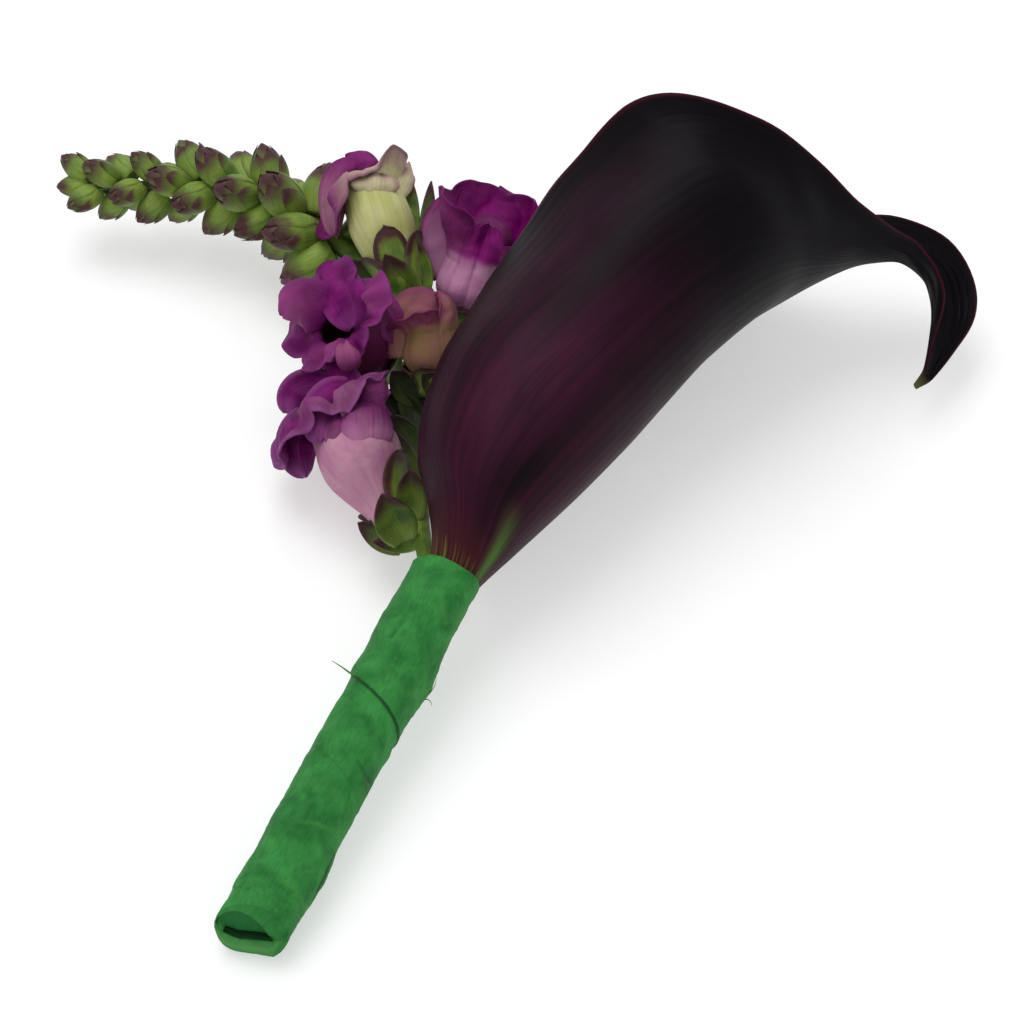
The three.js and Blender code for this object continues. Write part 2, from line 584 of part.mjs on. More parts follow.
const spray = new THREE.Group();
spray.add(piece('floral_tape', tape(), COLOUR.tape, 0.75));
spray.add(piece('calla_stem', callaStem(), COLOUR.callaStem, 0.55));
spray.add(piece('calla_spathe', spathe(), COLOUR.spathe, 0.5));
spray.add(piece('calla_spadix', spadix(), COLOUR.spadix, 0.8));
const blooms = BLOOMS.map(corolla);
spray.add(piece('snapdragon_spike', spike(blooms), COLOUR.spike, 0.6));
blooms.forEach((bloom, k) => {
  spray.add(piece(`snapdragon_bloom_${k + 1}`, fromSolid(bloom), BLOOMS[k].colour, 0.55));
});
spray.position.copy(FOOTPRINT_CENTRE).negate();

export default spray;
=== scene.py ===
# %% [markdown]
# # A calla lily and a stem of snapdragon, bound in green tape
# This is a small wedding spray that lies on a table. One near-black calla lily and one stem of purple
# snapdragon are held together by a handle of floral tape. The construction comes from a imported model, the
# frame, and this script dresses it: every petal, bud and turn of tape is built here as a fine mesh in the
# same place, and gets a procedural material.

# %% Load the frame
import math

import bpy
import numpy as np
from mathutils import Matrix, Vector, noise


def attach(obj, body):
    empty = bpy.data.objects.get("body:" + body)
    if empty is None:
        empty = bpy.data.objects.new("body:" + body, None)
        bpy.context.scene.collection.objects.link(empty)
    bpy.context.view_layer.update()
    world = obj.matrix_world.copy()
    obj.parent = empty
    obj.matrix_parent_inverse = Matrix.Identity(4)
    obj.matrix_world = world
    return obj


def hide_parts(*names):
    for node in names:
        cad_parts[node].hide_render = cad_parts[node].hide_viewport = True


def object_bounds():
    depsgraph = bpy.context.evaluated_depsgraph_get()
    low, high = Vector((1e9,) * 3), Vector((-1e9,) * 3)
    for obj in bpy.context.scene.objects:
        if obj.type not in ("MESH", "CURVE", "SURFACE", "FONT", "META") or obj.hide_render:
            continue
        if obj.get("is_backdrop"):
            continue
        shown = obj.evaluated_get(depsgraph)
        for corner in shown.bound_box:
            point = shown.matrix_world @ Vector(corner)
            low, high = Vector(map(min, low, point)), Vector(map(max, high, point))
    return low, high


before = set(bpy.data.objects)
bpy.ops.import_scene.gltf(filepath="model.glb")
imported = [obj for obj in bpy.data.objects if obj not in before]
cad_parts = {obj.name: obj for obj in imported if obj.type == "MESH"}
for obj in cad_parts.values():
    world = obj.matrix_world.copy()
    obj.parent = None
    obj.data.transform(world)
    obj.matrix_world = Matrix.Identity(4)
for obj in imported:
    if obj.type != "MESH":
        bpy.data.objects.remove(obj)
cad_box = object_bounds()
scene = bpy.context.scene
print("nodes of the frame:", ", ".join(sorted(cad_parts)))

# %% [markdown]
# The scene counts in metres, but petals are easier to think of in millimetres. The plan of the spray is in
# millimetres too, with its origin 2 mm from the middle of the footprint, so one function does both steps.

# %% Units
MM = 0.001
PLAN_TO_PART = np.array([0.56, -2.31, 0.0])  # from the plan's origin to the part's, in millimetres


def metres(points):
    return (np.asarray(points, float) + PLAN_TO_PART) * MM


print("the plan's origin lies at", metres([0, 0, 0]))

# %% [markdown]
# ## Camera, floor and light
# The picture looks down on the table at about 52 degrees through a long lens, which keeps the perspective
# flat. The camera comes first, because everything else is judged through it.

# %% Camera
CAMERA = {"elevation": 52, "distance": 600, "aim": (0, 0, 15), "lens": 130, "sensor": 36}

tilt = math.radians(CAMERA["elevation"])
offset = np.array([0, -math.cos(tilt), math.sin(tilt)]) * CAMERA["distance"]
camera = bpy.data.objects.new("camera", bpy.data.cameras.new("camera"))
camera.data.lens = CAMERA["lens"]
camera.data.sensor_width = CAMERA["sensor"]
camera.location = metres(np.array(CAMERA["aim"]) + offset)
camera.rotation_euler = (math.pi / 2 - tilt, 0, 0)
scene.collection.objects.link(camera)
scene.camera = camera
print("camera at", tuple(round(x, 3) for x in camera.location))

# %% [markdown]
# The light of a product photo is soft and comes from everywhere. Several lamps could make it, but one big
# soft lamp almost overhead and white surroundings are enough, and give one clear shadow. The surroundings
# also make the pale sheen on the rims of the dark calla.

# %% Light
LAMP = {"place": (-160, 260, 900), "size": 620, "watts": 3.9}
ROOM = {"Color": (0.985, 0.992, 1.0, 1.0), "Strength": 0.74}

lamp = bpy.data.objects.new("soft_lamp", bpy.data.lights.new("soft_lamp", "AREA"))
lamp.data.size = LAMP["size"] * MM
lamp.data.energy = LAMP["watts"]
lamp.location = metres(LAMP["place"])
toward = Vector(metres(CAMERA["aim"])) - lamp.location
lamp.rotation_euler = toward.to_track_quat("-Z", "Y").to_euler()
scene.collection.objects.link(lamp)
world = bpy.data.worlds.new("white_room")
world.use_nodes = True
for socket, value in ROOM.items():
    world.node_tree.nodes["Background"].inputs[socket].default_value = value
scene.world = world
scene.view_settings.view_transform = "Standard"
print("one lamp of", LAMP["watts"], "watts and white surroundings")

# %% [markdown]
# ## Materials
# Every finish here is a Principled shader fed by noise textures and by masks. A mask is a number stored on
# each vertex of a mesh, such as how near it is to a petal's edge. A second kind of attribute, called grain,
# holds directions that follow the surface, so that streaks and veins can run along a petal. This small
# class keeps the node plumbing in one place. A finish starts with one skin colour and gets coats over it,
# each with its own amount.


# %% Material helper
def colour(red, green, blue):
    """A colour as seen on a screen, 0 to 255, turned into the linear values that shaders work in."""
    channels = [c / 255 for c in (red, green, blue)]
    return tuple(c / 12.92 if c < 0.04 else ((c + 0.055) / 1.055) ** 2.4 for c in channels) + (1.0,)


class Finish:
    """One material: a Principled shader, and short ways to feed it."""

    def __init__(self, name, roughness, **fixed):
        self.material = bpy.data.materials.new(name)
        self.material.use_nodes = True
        self.tree = self.material.node_tree
        self.shader = self.tree.nodes["Principled BSDF"]
        for socket, value in {"Roughness": roughness, **fixed}.items():
            self.shader.inputs[socket.replace("_", " ")].default_value = value

    def node(self, kind, inputs, out=0, **settings):
        made = self.tree.nodes.new("ShaderNode" + kind)
        for key, value in settings.items():
            setattr(made, key, value)
        for socket, value in inputs.items():
            if isinstance(value, bpy.types.NodeSocket):
                self.tree.links.new(value, made.inputs[socket])
            else:
                made.inputs[socket].default_value = value
        return made.outputs[out]

    def mask(self, name):
        return self.node("Attribute", {}, "Fac", attribute_name=name)

    def grain(self, *stretch):
        along_surface = self.node("Attribute", {}, "Vector", attribute_name="grain")
        return self.node("Mapping", {"Vector": along_surface, "Scale": stretch})

    def place(self, stretch=1 / MM):
        spot = self.node("TexCoord", {}, "Object")
        return self.node("Mapping", {"Vector": spot, "Scale": (stretch,) * 3})

    def noise(self, where, scale, detail=3.0, distortion=0.0):
        inputs = {"Vector": where, "Scale": scale, "Detail": detail, "Distortion": distortion}
        return self.node("TexNoise", inputs)

    def ramp(self, value, low, high, to_low=0.0, to_high=1.0):
        ends = {"Value": value, "From Min": low, "From Max": high, "To Min": to_low, "To Max": to_high}
        return self.node("MapRange", ends)

    def plus(self, first, second):
        return self.node("Math", {0: first, 1: second}, operation="ADD")

    def times(self, first, *others):
        for other in others:
            first = self.node("Math", {0: first, 1: other}, operation="MULTIPLY")
        return first

    def mix(self, amount, *paints):
        """Mixes two paints. A paint is a socket, a screen colour of 3 numbers or a linear one of 4."""
        first, second = (colour(*p) if isinstance(p, tuple) and len(p) == 3 else p for p in paints)
        return self.node("Mix", {0: amount, 6: first, 7: second}, 2, data_type="RGBA")

    def done(self, skin, coats=(), gloss=None, height=None, depth=0.0):
        """Lays the coats over the skin and feeds the shader. The relief's depth is in millimetres."""
        for amount, paint in coats:
            skin = self.mix(amount, skin, paint)
        feeds = {"Base Color": skin, "Roughness": gloss}
        if height is not None:
            feeds["Normal"] = self.node("Bump", {"Height": height, "Distance": depth * MM})
        for socket, value in feeds.items():
            if value is not None:
                self.tree.links.new(value, self.shader.inputs[socket])
        return self.material


print("a mid grey is", tuple(round(c, 3) for c in colour(128, 128, 128)))

# %% [markdown]
# The spray lies on a plain white sheet. A big plane with a white finish would turn grey under so little
# lamp light, so this one glows a little, as a light table does, and the shadows on it stay pale.

# %% Floor
FLOOR = {"size": 3.0, "drop": 0.00005, "glow": 0.43}  # metres, and a drop that clears the flats on it


def floor_finish():
    finish = Finish("pale_floor", 0.9, Specular_IOR_Level=0.0, Emission_Color=(1, 1, 1, 1),
                    Emission_Strength=FLOOR["glow"])
    spots = finish.noise(finish.place(40), 1.0)
    return finish.done(finish.mix(spots, (0.6, 0.6, 0.6, 1.0), (0.63, 0.63, 0.63, 1.0)))


floor_mesh = bpy.data.meshes.new("floor")
reach = FLOOR["size"] / 2
corners = [(x * reach, y * reach, -FLOOR["drop"]) for x, y in ((-1, -1), (1, -1), (1, 1), (-1, 1))]
floor_mesh.from_pydata(corners, [], [(0, 1, 2, 3)])
floor_mesh.materials.append(floor_finish())
floor = bpy.data.objects.new("floor", floor_mesh)
scene.collection.objects.link(floor)
floor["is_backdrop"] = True
print("floor", FLOOR["size"], "m wide")

# %% [markdown]
# ## Shared maths
# Petals are smooth sheets, so most shapes below are grids of points worked out as arrays: a few measured
# stations, and a smooth curve through them. These helpers are the ones that all pieces share.


# %% Curves and blends
def smooth(low, high, x):
    t = np.clip((np.asarray(x, float) - low) / (high - low), 0, 1)
    return t * t * (3 - 2 * t)


def mix(a, b, t):
    return a + (b - a) * t


def bell(x, middle, width):
    return np.exp(-(((x - middle) / width) ** 2))


def unit(v):
    v = np.asarray(v, float)
    return v / np.linalg.norm(v, axis=-1, keepdims=True)


def field(*parts):
    """Numbers and grids that match in shape, made into one grid of vectors."""
    return np.stack(np.broadcast_arrays(*parts), -1)


def net(rows, columns):
    """The places of a leaf: t from foot to tip in rows, w from side to side in columns."""
    return np.linspace(0, 1, rows)[:, None], np.linspace(-1, 1, columns)[None, :]


def along(stations, position):
    """Reads a smooth curve through stations [position, value, value, ...] at many positions."""
    table = np.array(stations, float)
    x, y = table[:, 0], table[:, 1:]
    after = np.minimum(np.arange(len(x)) + 1, len(x) - 1)
    before = np.maximum(np.arange(len(x)) - 1, 0)
    slope = (y[after] - y[before]) / (x[after] - x[before])[:, None]
    k = np.clip(np.searchsorted(x, position, side="left") - 1, 0, len(x) - 2)
    span = (x[k + 1] - x[k])[:, None]
    t = np.clip((position - x[k]) / span[:, 0], 0, 1)[:, None]
    start = y[k] * (2 * t**3 - 3 * t**2 + 1) + slope[k] * span * (t**3 - 2 * t**2 + t)
    return start + y[k + 1] * (3 * t**2 - 2 * t**3) + slope[k + 1] * span * (t**3 - t**2)


def crumple(points, size, seed=0.0):
    """Soft random bumps between about -1 and 1, each about the given size in millimetres."""
    spots = (points.reshape(-1, 3) / size + seed).tolist()
    return np.array([noise.noise(spot) for spot in spots]).reshape(points.shape[:-1]) * 1.6


print("smooth steps from 0 to 1:", smooth(0, 1, [0, 0.25, 0.5, 0.75, 1]))

# %% [markdown]
# Stems, the handle and the spike follow a path. A curve object with a bevel could do that too, but here the
# radius has to change round the ring as well as along it. This curve passes through every point of its list
# without loops, and reading it by the share of its length spaces the rings of a stem evenly.

# %% Paths
PATH_STEPS = 60


class Path:
    """A smooth curve through points, read by the share of its length."""

    def __init__(self, points):
        p = np.array(points, float)
        ends = [2 * p[0] - p[1], *p, 2 * p[-1] - p[-2]]
        t = np.arange(PATH_STEPS)[:, None] / PATH_STEPS
        fine = []
        for a, b, c, d in zip(ends, ends[1:], ends[2:], ends[3:]):
            u, v, w = (math.sqrt(np.linalg.norm(step)) for step in (b - a, c - b, d - c))
            start = ((b - a) / u - (c - a) / (u + v) + (c - b) / v) * v
            stop = ((c - b) / v - (d - b) / (v + w) + (d - c) / w) * v
            bend = (3 * (c - b) - 2 * start - stop) * t**2 + (2 * (b - c) + start + stop) * t**3
            fine.append(b + start * t + bend)
        self.points = np.vstack([*fine, p[-1:]])
        lengths = np.linalg.norm(np.diff(self.points, axis=0), axis=1)
        self.share = np.append(0, np.cumsum(lengths))
        self.length = self.share[-1]
        self.share /= self.length

    def at(self, t):
        return np.stack([np.interp(t, self.share, self.points[:, k]) for k in range(3)], -1)

    def forward(self, t):
        t = np.asarray(t, float)
        return unit(self.at(np.minimum(t + 0.004, 1)) - self.at(np.maximum(t - 0.004, 0)))


def ring_frame(path, t, side):
    """Two directions across a path at each share t, the first one towards the given side."""
    forward = path.forward(t)
    x = unit(side - (forward @ np.array(side, float))[:, None] * forward)
    return forward, x, np.cross(forward, x)


def tube(path, t, radius, sides, side=(0, 0, 1)):
    """Rings of points round a path. The radius is one number for each ring and side."""
    _, x, y = ring_frame(path, t, side)
    angle = 2 * np.pi * np.arange(sides) / sides
    r = np.broadcast_to(radius, (len(t), sides))[..., None]
    round_about = x[:, None] * np.cos(angle)[:, None] + y[:, None] * np.sin(angle)[:, None]
    return path.at(t)[:, None] + r * round_about, angle


print("a straight path of 10 mm measures", Path([(0, 0, 0), (5, 0, 0), (10, 0, 0)]).length)

# %% [markdown]
# A sheet of points has no thickness. A petal does, so `walled` gives each grid a front, a back and a
# rounded rim between them. It also says which grid point each new vertex came from, so masks can follow it.


# %% Sheets with a wall
def grid_faces(rows, columns, wrapped=False):
    i, j = np.meshgrid(np.arange(rows - 1), np.arange(columns if wrapped else columns - 1), indexing="ij")
    a = i * columns + j
    b = i * columns + (j + 1) % columns
    return np.stack([a, b, b + columns, a + columns], -1).reshape(-1, 4)


def closed_rings(rings, sides, inside_out=False):
    """The faces of a stack of rings with a flat cap at each end."""
    faces = grid_faces(rings, sides, True).tolist()
    faces += [list(range(sides))[::-1], list(range((rings - 1) * sides, rings * sides))]
    return [face[::-1] for face in faces] if inside_out else faces


def fan(pole, ring):
    """The triangles between one point and a closed ring of points."""
    return [[pole, after, here] for here, after in zip(ring, ring[1:] + ring[:1])]


def sheet_normals(grid, wrapped):
    across = (np.roll(grid, -1, 1) - np.roll(grid, 1, 1)) if wrapped else np.gradient(grid, axis=1)
    return unit(np.cross(across, np.gradient(grid, axis=0)))


def walled(grid, wall, wrapped, floor_level):
    """Points and faces of a sheet with a wall, and for each point its grid point and its side."""
    rows, columns = grid.shape[:2]
    count = rows * columns
    half = np.broadcast_to(wall, (rows, columns))[..., None] / 2
    lift = sheet_normals(grid, wrapped) * half
    front, back = (grid + lift).reshape(-1, 3), (grid - lift).reshape(-1, 3)
    index = np.arange(count).reshape(rows, columns)
    loop = [index[-1]] if wrapped else [index[:-1, 0], index[-1, :-1], index[:0:-1, -1], index[0, :0:-1]]
    edge = np.concatenate(loop)
    i, j = np.divmod(edge, columns)
    inner = grid[np.clip(i, 1, rows - 2), j if wrapped else np.clip(j, 1, columns - 2)]
    rim = grid[i, j] + unit(grid[i, j] - inner) * half[i, j] * 0.9
    middle = 2 * count + np.arange(len(edge))
    edge_on, middle_on = np.roll(edge, -1), np.roll(middle, -1)
    quads = grid_faces(rows, columns, wrapped)
    faces = np.vstack([
        quads, quads[:, ::-1] + count, np.stack([edge, edge_on, middle_on, middle], -1),
        np.stack([middle, middle_on, count + edge_on, count + edge], -1),
    ]).tolist()
    points = [front, back, rim]
    owner = [np.arange(count), np.arange(count), edge]
    side = [np.zeros(count), np.ones(count), np.full(len(edge), 0.5)]
    if wrapped:
        pole = 2 * count + len(edge)
        points.append([mix(front[:columns].mean(0), grid[1].mean(0), 0.35), back[:columns].mean(0)])
        owner.append([0, 0])
        side.append([0, 1])
        faces += fan(pole, list(range(columns)))
        faces += [face[::-1] for face in fan(pole + 1, list(range(count, count + columns)))]
    points = np.vstack(points)
    if floor_level is not None:
        points[:, 2] = np.maximum(points[:, 2], floor_level)
    return points, faces, np.concatenate(owner), np.concatenate(side)


print("a sheet of 3 by 3 points has", len(grid_faces(3, 3)), "faces")


# %% [markdown]
# `Shape` gathers such sheets and turns them into one object of the scene. Each part may bring masks of its
# own, and a mask that a part doesn't bring is zero there.


# %% Shapes and pieces
def spread(key, value, size):
    """A mask with a value for each point: three numbers for a direction, or else one."""
    width = (3,) if key == "grain" else ()
    return np.broadcast_to(np.asarray(value, float), (*size, *width)).reshape(-1, *width)


class Shape:
    """Gathers points, faces and masks, and becomes one piece of the scene."""

    def __init__(self):
        self.points, self.faces, self.masks, self.count = [], [], [], 0

    def add(self, points, faces, **masks):
        size = np.shape(points)[:-1]
        self.points.append(np.reshape(points, (-1, 3)))
        self.faces += [[k + self.count for k in face] for face in faces]
        self.masks.append({key: spread(key, value, size) for key, value in masks.items()})
        self.count += len(self.points[-1])

    def add_sheet(self, grid, wall, wrapped=False, floor_level=None, mirrored=False, **masks):
        """A mirrored sheet is one whose front would otherwise face inwards."""
        size, step = grid.shape[:2], -1 if mirrored else 1
        wall = np.broadcast_to(wall, size)[:, ::step]
        points, faces, owner, side = walled(grid[:, ::step], wall, wrapped, floor_level)
        order = np.arange(grid[..., 0].size).reshape(size)[:, ::step].reshape(-1)[owner]
        worn = {key: spread(key, value, size)[order] for key, value in masks.items()}
        self.add(points, faces, side=side, **worn)

    def mesh(self, name, place=metres):
        mesh = bpy.data.meshes.new(name)
        mesh.from_pydata(place(np.vstack(self.points)), [], self.faces)
        for key in sorted({key for masks in self.masks for key in masks}):
            parts = [masks.get(key, spread(key, 0, (len(points),)))
                     for points, masks in zip(self.points, self.masks)]
            kind, field_name = ("FLOAT_VECTOR", "vector") if key == "grain" else ("FLOAT", "value")
            layer = mesh.attributes.new(key, kind, "POINT")
            layer.data.foreach_set(field_name, np.concatenate(parts).ravel())
        mesh.shade_smooth()
        return mesh


def new_piece(name, shape, material, slot, *nodes):
    """Puts a finished shape in the scene, on the body of the frame, in the place of some of its nodes."""
    mesh = shape.mesh(name) if isinstance(shape, Shape) else shape
    if not mesh.materials:
        mesh.materials.append(material)
    piece = bpy.data.objects.new(name, mesh)
    scene.collection.objects.link(piece)
    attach(piece, "root")
    if nodes:
        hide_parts(*nodes)
    size = np.round(np.ptp([v.co for v in mesh.vertices], 0) / MM, 1)
    print(f"{name}: {len(mesh.vertices)} vertices, {size[0]} x {size[1]} x {size[2]} mm")


print("pieces are made of shapes, and shapes of sheets")

# %% [markdown]
# ## The calla's spathe
# What looks like the calla's petal is one big rolled leaf, the spathe. It starts as a narrow cone, its
# margins lap over each other, then it opens into a wide mouth with a rolled rim and ends in a bent tip. It
# could be sculpted, or draped as cloth, but a rule can be measured against the real flower and corrected in
# one place. The rule has three tables along its midrib: where the midrib runs, how far each half wraps
# round, and how the margins roll and the tip twists. Each cross-section is a curve whose heading turns as
# it goes.

# %% Tables of the spathe
CALLA_BASE = np.array([-9.6, -15.8, 17.5])  # where the calla leaves the tape
CALLA_AXIS = unit([0.48, 0.85, 0.2])
back_hint = np.array([0.814, -0.355, -0.459])
CALLA_BACK = unit(back_hint - (back_hint @ CALLA_AXIS) * CALLA_AXIS)
CALLA_RAISED = np.cross(CALLA_BACK, CALLA_AXIS)

# Midrib: length along it, height up the stalk, distance to the back
MIDRIB = [
    [-6, -6, 3.1], [0, 0, 3.5], [9.8, 9.7, 6], [29.3, 28.8, 10.8], [45.5, 44.5, 13.8], [58.8, 57.4, 17],
    [71, 69, 21], [80, 77.2, 24.6], [90, 86, 29.6], [95.6, 90.4, 32.9], [101.2, 94, 37],
    [107.5, 94.3, 43], [113, 90.8, 46.9], [118.6, 85.6, 49.3], [125.2, 79.3, 51], [129, 75.8, 50.4],
]
# Wrap: length, radius, degrees that each half wraps, sideways stretch
WRAP = [
    [-6, 3.9, 164, 1], [0, 4.2, 172, 0.96], [4.5, 6.4, 188, 0.98], [9.8, 10, 205, 1], [17.9, 13.2, 204, 1],
    [29.3, 15.2, 198, 1.02], [45.5, 15.8, 187, 1.08], [58.8, 17.8, 170, 1.1], [71, 20.1, 145, 1.1],
    [80, 17.8, 114, 1.05], [85, 14.8, 102, 1], [90, 11, 90, 1], [95.6, 8.3, 78, 1],
    [101.2, 7.4, 70, 1], [107.5, 7.5, 68, 1], [113, 7, 68, 1], [118.6, 4.6, 60, 1], [129, 0.9, 30, 1],
]
# Curl: length, roll of the margins, twist of the tip, in degrees
CURL = [
    [-6, 0, 0], [30, 4, 0], [45.5, 15, 0], [58.8, 30, 0], [71, 50, 0], [80, 58, 0],
    [90, 50, 10], [95.6, 35, 25], [101.2, 15, 40], [107.5, 0, 50], [129, 0, 52],
]
SPATHE = {"rows": 190, "columns": 160, "lap": 0.5, "roll_start": 0.68, "length": 129, "wall": (0.8, 0.5)}
LOWER_HALF = {"bulge": 0.5, "pull": 0.08}  # the half that faces the table is wider, and its rim drawn in


def calla_point(h, b, s):
    return CALLA_BASE + CALLA_AXIS * h + CALLA_BACK * b + CALLA_RAISED * s


print("the calla is", SPATHE["length"], "mm long along its midrib")


# %% [markdown]
# Each half of a cross-section starts at the midrib and is added up from small steps whose heading turns. So
# it can lap over its other half and roll outwards at the margin, which a circle couldn't. The rows then
# follow the midrib as it bends over, and turn about it where the tip twists.

# %% Cross-sections of the spathe
def half_section(wrap, roll, radius, half):
    """One half of every cross-section: sideways and inward distance from the midrib, column by column."""
    share = (np.arange(half) + 0.5) / half
    rolled = np.clip((share - SPATHE["roll_start"]) / (1 - SPATHE["roll_start"]), 0, 1) ** 1.3
    heading = np.radians(wrap)[:, None] * share - roll[:, None] * rolled
    pace = (radius * np.radians(wrap) / half)[:, None]
    return [np.pad(np.cumsum(way(heading) * pace, 1), ((0, 0), (1, 0))) for way in (np.cos, np.sin)]


def spathe_grid():
    """Rows of points along the midrib, columns from the lower margin round the back to the raised one."""
    length = np.linspace(MIDRIB[0][0], SPATHE["length"], SPATHE["rows"] + 1)
    u = np.linspace(-1, 1, SPATHE["columns"] + 1)
    h, b = along(MIDRIB, length).T
    dh, db = (along(MIDRIB, length + 0.5) - along(MIDRIB, length - 0.5)).T
    radius, wrap, stretch = along(WRAP, length).T
    roll, twist = np.radians(along(CURL, length)).T
    forward = unit(dh[:, None] * CALLA_AXIS + db[:, None] * CALLA_BACK)
    turn = lambda v: v * np.cos(twist)[:, None] + np.cross(forward, v) * np.sin(twist)[:, None]
    across = turn(np.broadcast_to(CALLA_RAISED, forward.shape))
    inward = turn(unit(np.cross(CALLA_RAISED, forward)))
    half = SPATHE["columns"] // 2
    x, y = half_section(wrap, roll, radius, half)
    column = np.abs(np.arange(SPATHE["columns"] + 1) - half)
    sign = np.where(u < 0, -1, 1)
    lap = 1 + sign * (SPATHE["lap"] * np.clip((wrap - 165) / 25, 0, 1) / radius)[:, None]
    bulge = 1 + LOWER_HALF["bulge"] * smooth(30, 76, length) * (1 - smooth(82, 100, length))
    pull = 1 - LOWER_HALF["pull"] * bell(length, 62, 9)
    sideways = sign * x[:, column] * lap * stretch[:, None] * np.where(u < 0, bulge[:, None], 1)
    deep = y[:, column] * lap * np.where(u < 0, pull[:, None], 1)
    middle = calla_point(h[:, None], b[:, None], 0)[:, None]
    grid = middle + across[:, None] * sideways[..., None] + inward[:, None] * deep[..., None]
    return grid, length[:, None], u[None, :]


grid, length, u = spathe_grid()
print("the spathe's grid has", grid.shape[0], "rows and", grid.shape[1], "columns")

# %% [markdown]
# A real spathe isn't as even as the rule. Its rim waves a little, its sides have shallow dents, and fine
# veins run from the stalk to the tip. These are small moves along the surface's normal, and they fade out
# where the leaf is held by the tape. Last, its highest and outermost parts are pressed in a little, so that
# the waves stay inside the frame's box.

# %% Life in the spathe
VEINS = {"count": 26, "height": 0.028}
PRESSED = [(2, 54, 0.8), (0, 74, 0.94)]  # axis, start in millimetres, share that is kept past it
TABLE_GAP = 0.32  # the sheet's middle stays this high above the table


def weather_spathe(grid, length, u):
    free = smooth(4, 30, length)
    margin = smooth(0.7, 1, np.abs(u)) * smooth(25, 60, length) * (1 - smooth(108, 124, length))
    wave = 0.5 * np.sin(length / 5.1 + 2 * np.sign(u)) + 0.3 * np.sin(length / 2.6 + 1)
    dents = 0.5 * crumple(grid, 24) + 0.18 * crumple(grid, 9, 5.0)
    drift = 0.5 * crumple(field(u * 3, length / 40, 0.0), 1)
    veins = VEINS["height"] * np.sin(2 * np.pi * (u * VEINS["count"] + drift)) * smooth(0, 14, length)
    move = margin * wave + free * dents * (1 - 0.5 * margin) + veins
    grid = grid + sheet_normals(grid, False) * move[..., None]
    grid[..., 2] = np.maximum(grid[..., 2], TABLE_GAP)
    for axis, start, share in PRESSED:
        past = grid[..., axis] - start
        grid[..., axis] = start + np.where(past > 0, past * share, past)
    return grid


grid = weather_spathe(grid, length, u)
rib = 0.4 * bell(u, 0, 0.05) * (1 - smooth(20, 70, length))
wall = (mix(*SPATHE["wall"], u**2) + rib) * (1 - 0.5 * smooth(118, SPATHE["length"], length))
marks = {  # where the colours of the finish lie
    "across": u,
    "along": length / SPATHE["length"],
    "margin": np.abs(u),
    "tongue": bell(u, 0.22 + 0.004 * length, 0.05) * smooth(13, 4, length),
    "flame": np.minimum(1, 1.3 * bell(u, 0.39, 0.08) * bell(length, 31, 17)
                        + 0.4 * bell(u, 0.6, 0.07) * bell(length, 12, 9)),
    # Painted shade: a near-black band where the overlapping margin folds over.
    "band": bell(u + 0.009 * (length - 14), 0.35, 0.1) * bell(length, 15, 12),
    "lit": bell(u, 0.5, 0.12) * bell(length, 26, 16) + 0.4 * bell(u, 0.8, 0.1) * bell(length, 48, 14),
}
spathe = Shape()
spathe.add_sheet(grid, wall, floor_level=0.0, grain=field(u, length / 100, 0.0), **marks)
print("the spathe's wall is", round(wall.min(), 2), "to", round(wall.max(), 2), "mm thick")

# %% [markdown]
# The spathe is so dark a burgundy that most of what the eye sees is gloss: a soft, waxy one, which shows
# the white surroundings. Plum shows through in the lower half, in fine streaks that follow the grain, with
# a crimson flame, and beside it a near-black band of painted shade where the overlapping margin folds over.
# A paler mauve patch on the raised half is a painted highlight. At the tape it turns brown-red with
# yellow-green streaks, and one narrow green tongue runs up from there. One picture of streaks could be
# stretched over it, but noise on the grain follows the leaf round its back, where no photo shows it.


# %% Finish of the spathe
def spathe_finish():
    finish = Finish("calla_skin", 0.44, Specular_IOR_Level=0.08)
    mask, ramp, times = finish.mask, finish.ramp, finish.times
    streaks = finish.noise(finish.grain(30, 1.6, 1), 1.0, 6.0, 0.25)
    fine = finish.noise(finish.grain(120, 5, 1), 1.0, 3.0, 0.2)
    clouds = finish.noise(finish.grain(5, 3, 1), 1.0, 3.0, 0.6)
    up, cloudy = mask("along"), ramp(clouds, 0.3, 0.6, 0.35, 1.0)
    plum = times(ramp(up, 0.5, 0.14), cloudy, ramp(mask("across"), 0.85, 0.5, 0.5, 1.0))
    lit = times(mask("lit"), ramp(clouds, 0.3, 0.62, 0.3, 1.0), ramp(fine, 0.3, 0.7, 0.5, 1.0))
    black = finish.mix(ramp(streaks, 0.35, 0.7), (2, 0, 3), (9, 3, 10))
    coats = [
        (plum, finish.mix(ramp(streaks, 0.3, 0.7), (36, 2, 22), (66, 10, 42))),
        (lit, (72, 32, 56)),
        (times(mask("flame"), ramp(streaks, 0.38, 0.56, 0.2, 1.0)), (112, 14, 38)),
        # Painted shade in the band where the overlapping margin folds over.
        (times(mask("band"), ramp(streaks, 0.7, 0.4, 0.6, 1.0)), (10, 2, 6)),
        (ramp(up, 0.05, 0.0, 0.0, 0.8), (66, 28, 22)),
        (times(ramp(up, 0.02, 0.002), ramp(streaks, 0.52, 0.62, 0.0, 0.8)), (110, 104, 52)),
        (times(mask("tongue"), ramp(streaks, 0.2, 0.5, 0.55, 1.0)), (70, 104, 44)),
        (ramp(mask("margin"), 0.98, 1.0, 0.0, 0.35), (84, 16, 34)),
        (ramp(up, 0.975, 1.0), (96, 92, 60)),
    ]
    height = finish.plus(streaks, times(fine, 0.5))
    return finish.done(black, coats, ramp(streaks, 0.2, 0.8, 0.38, 0.54), height, 0.04)


new_piece("calla_spathe_fine", spathe, spathe_finish(), "spathe", "calla_spathe")

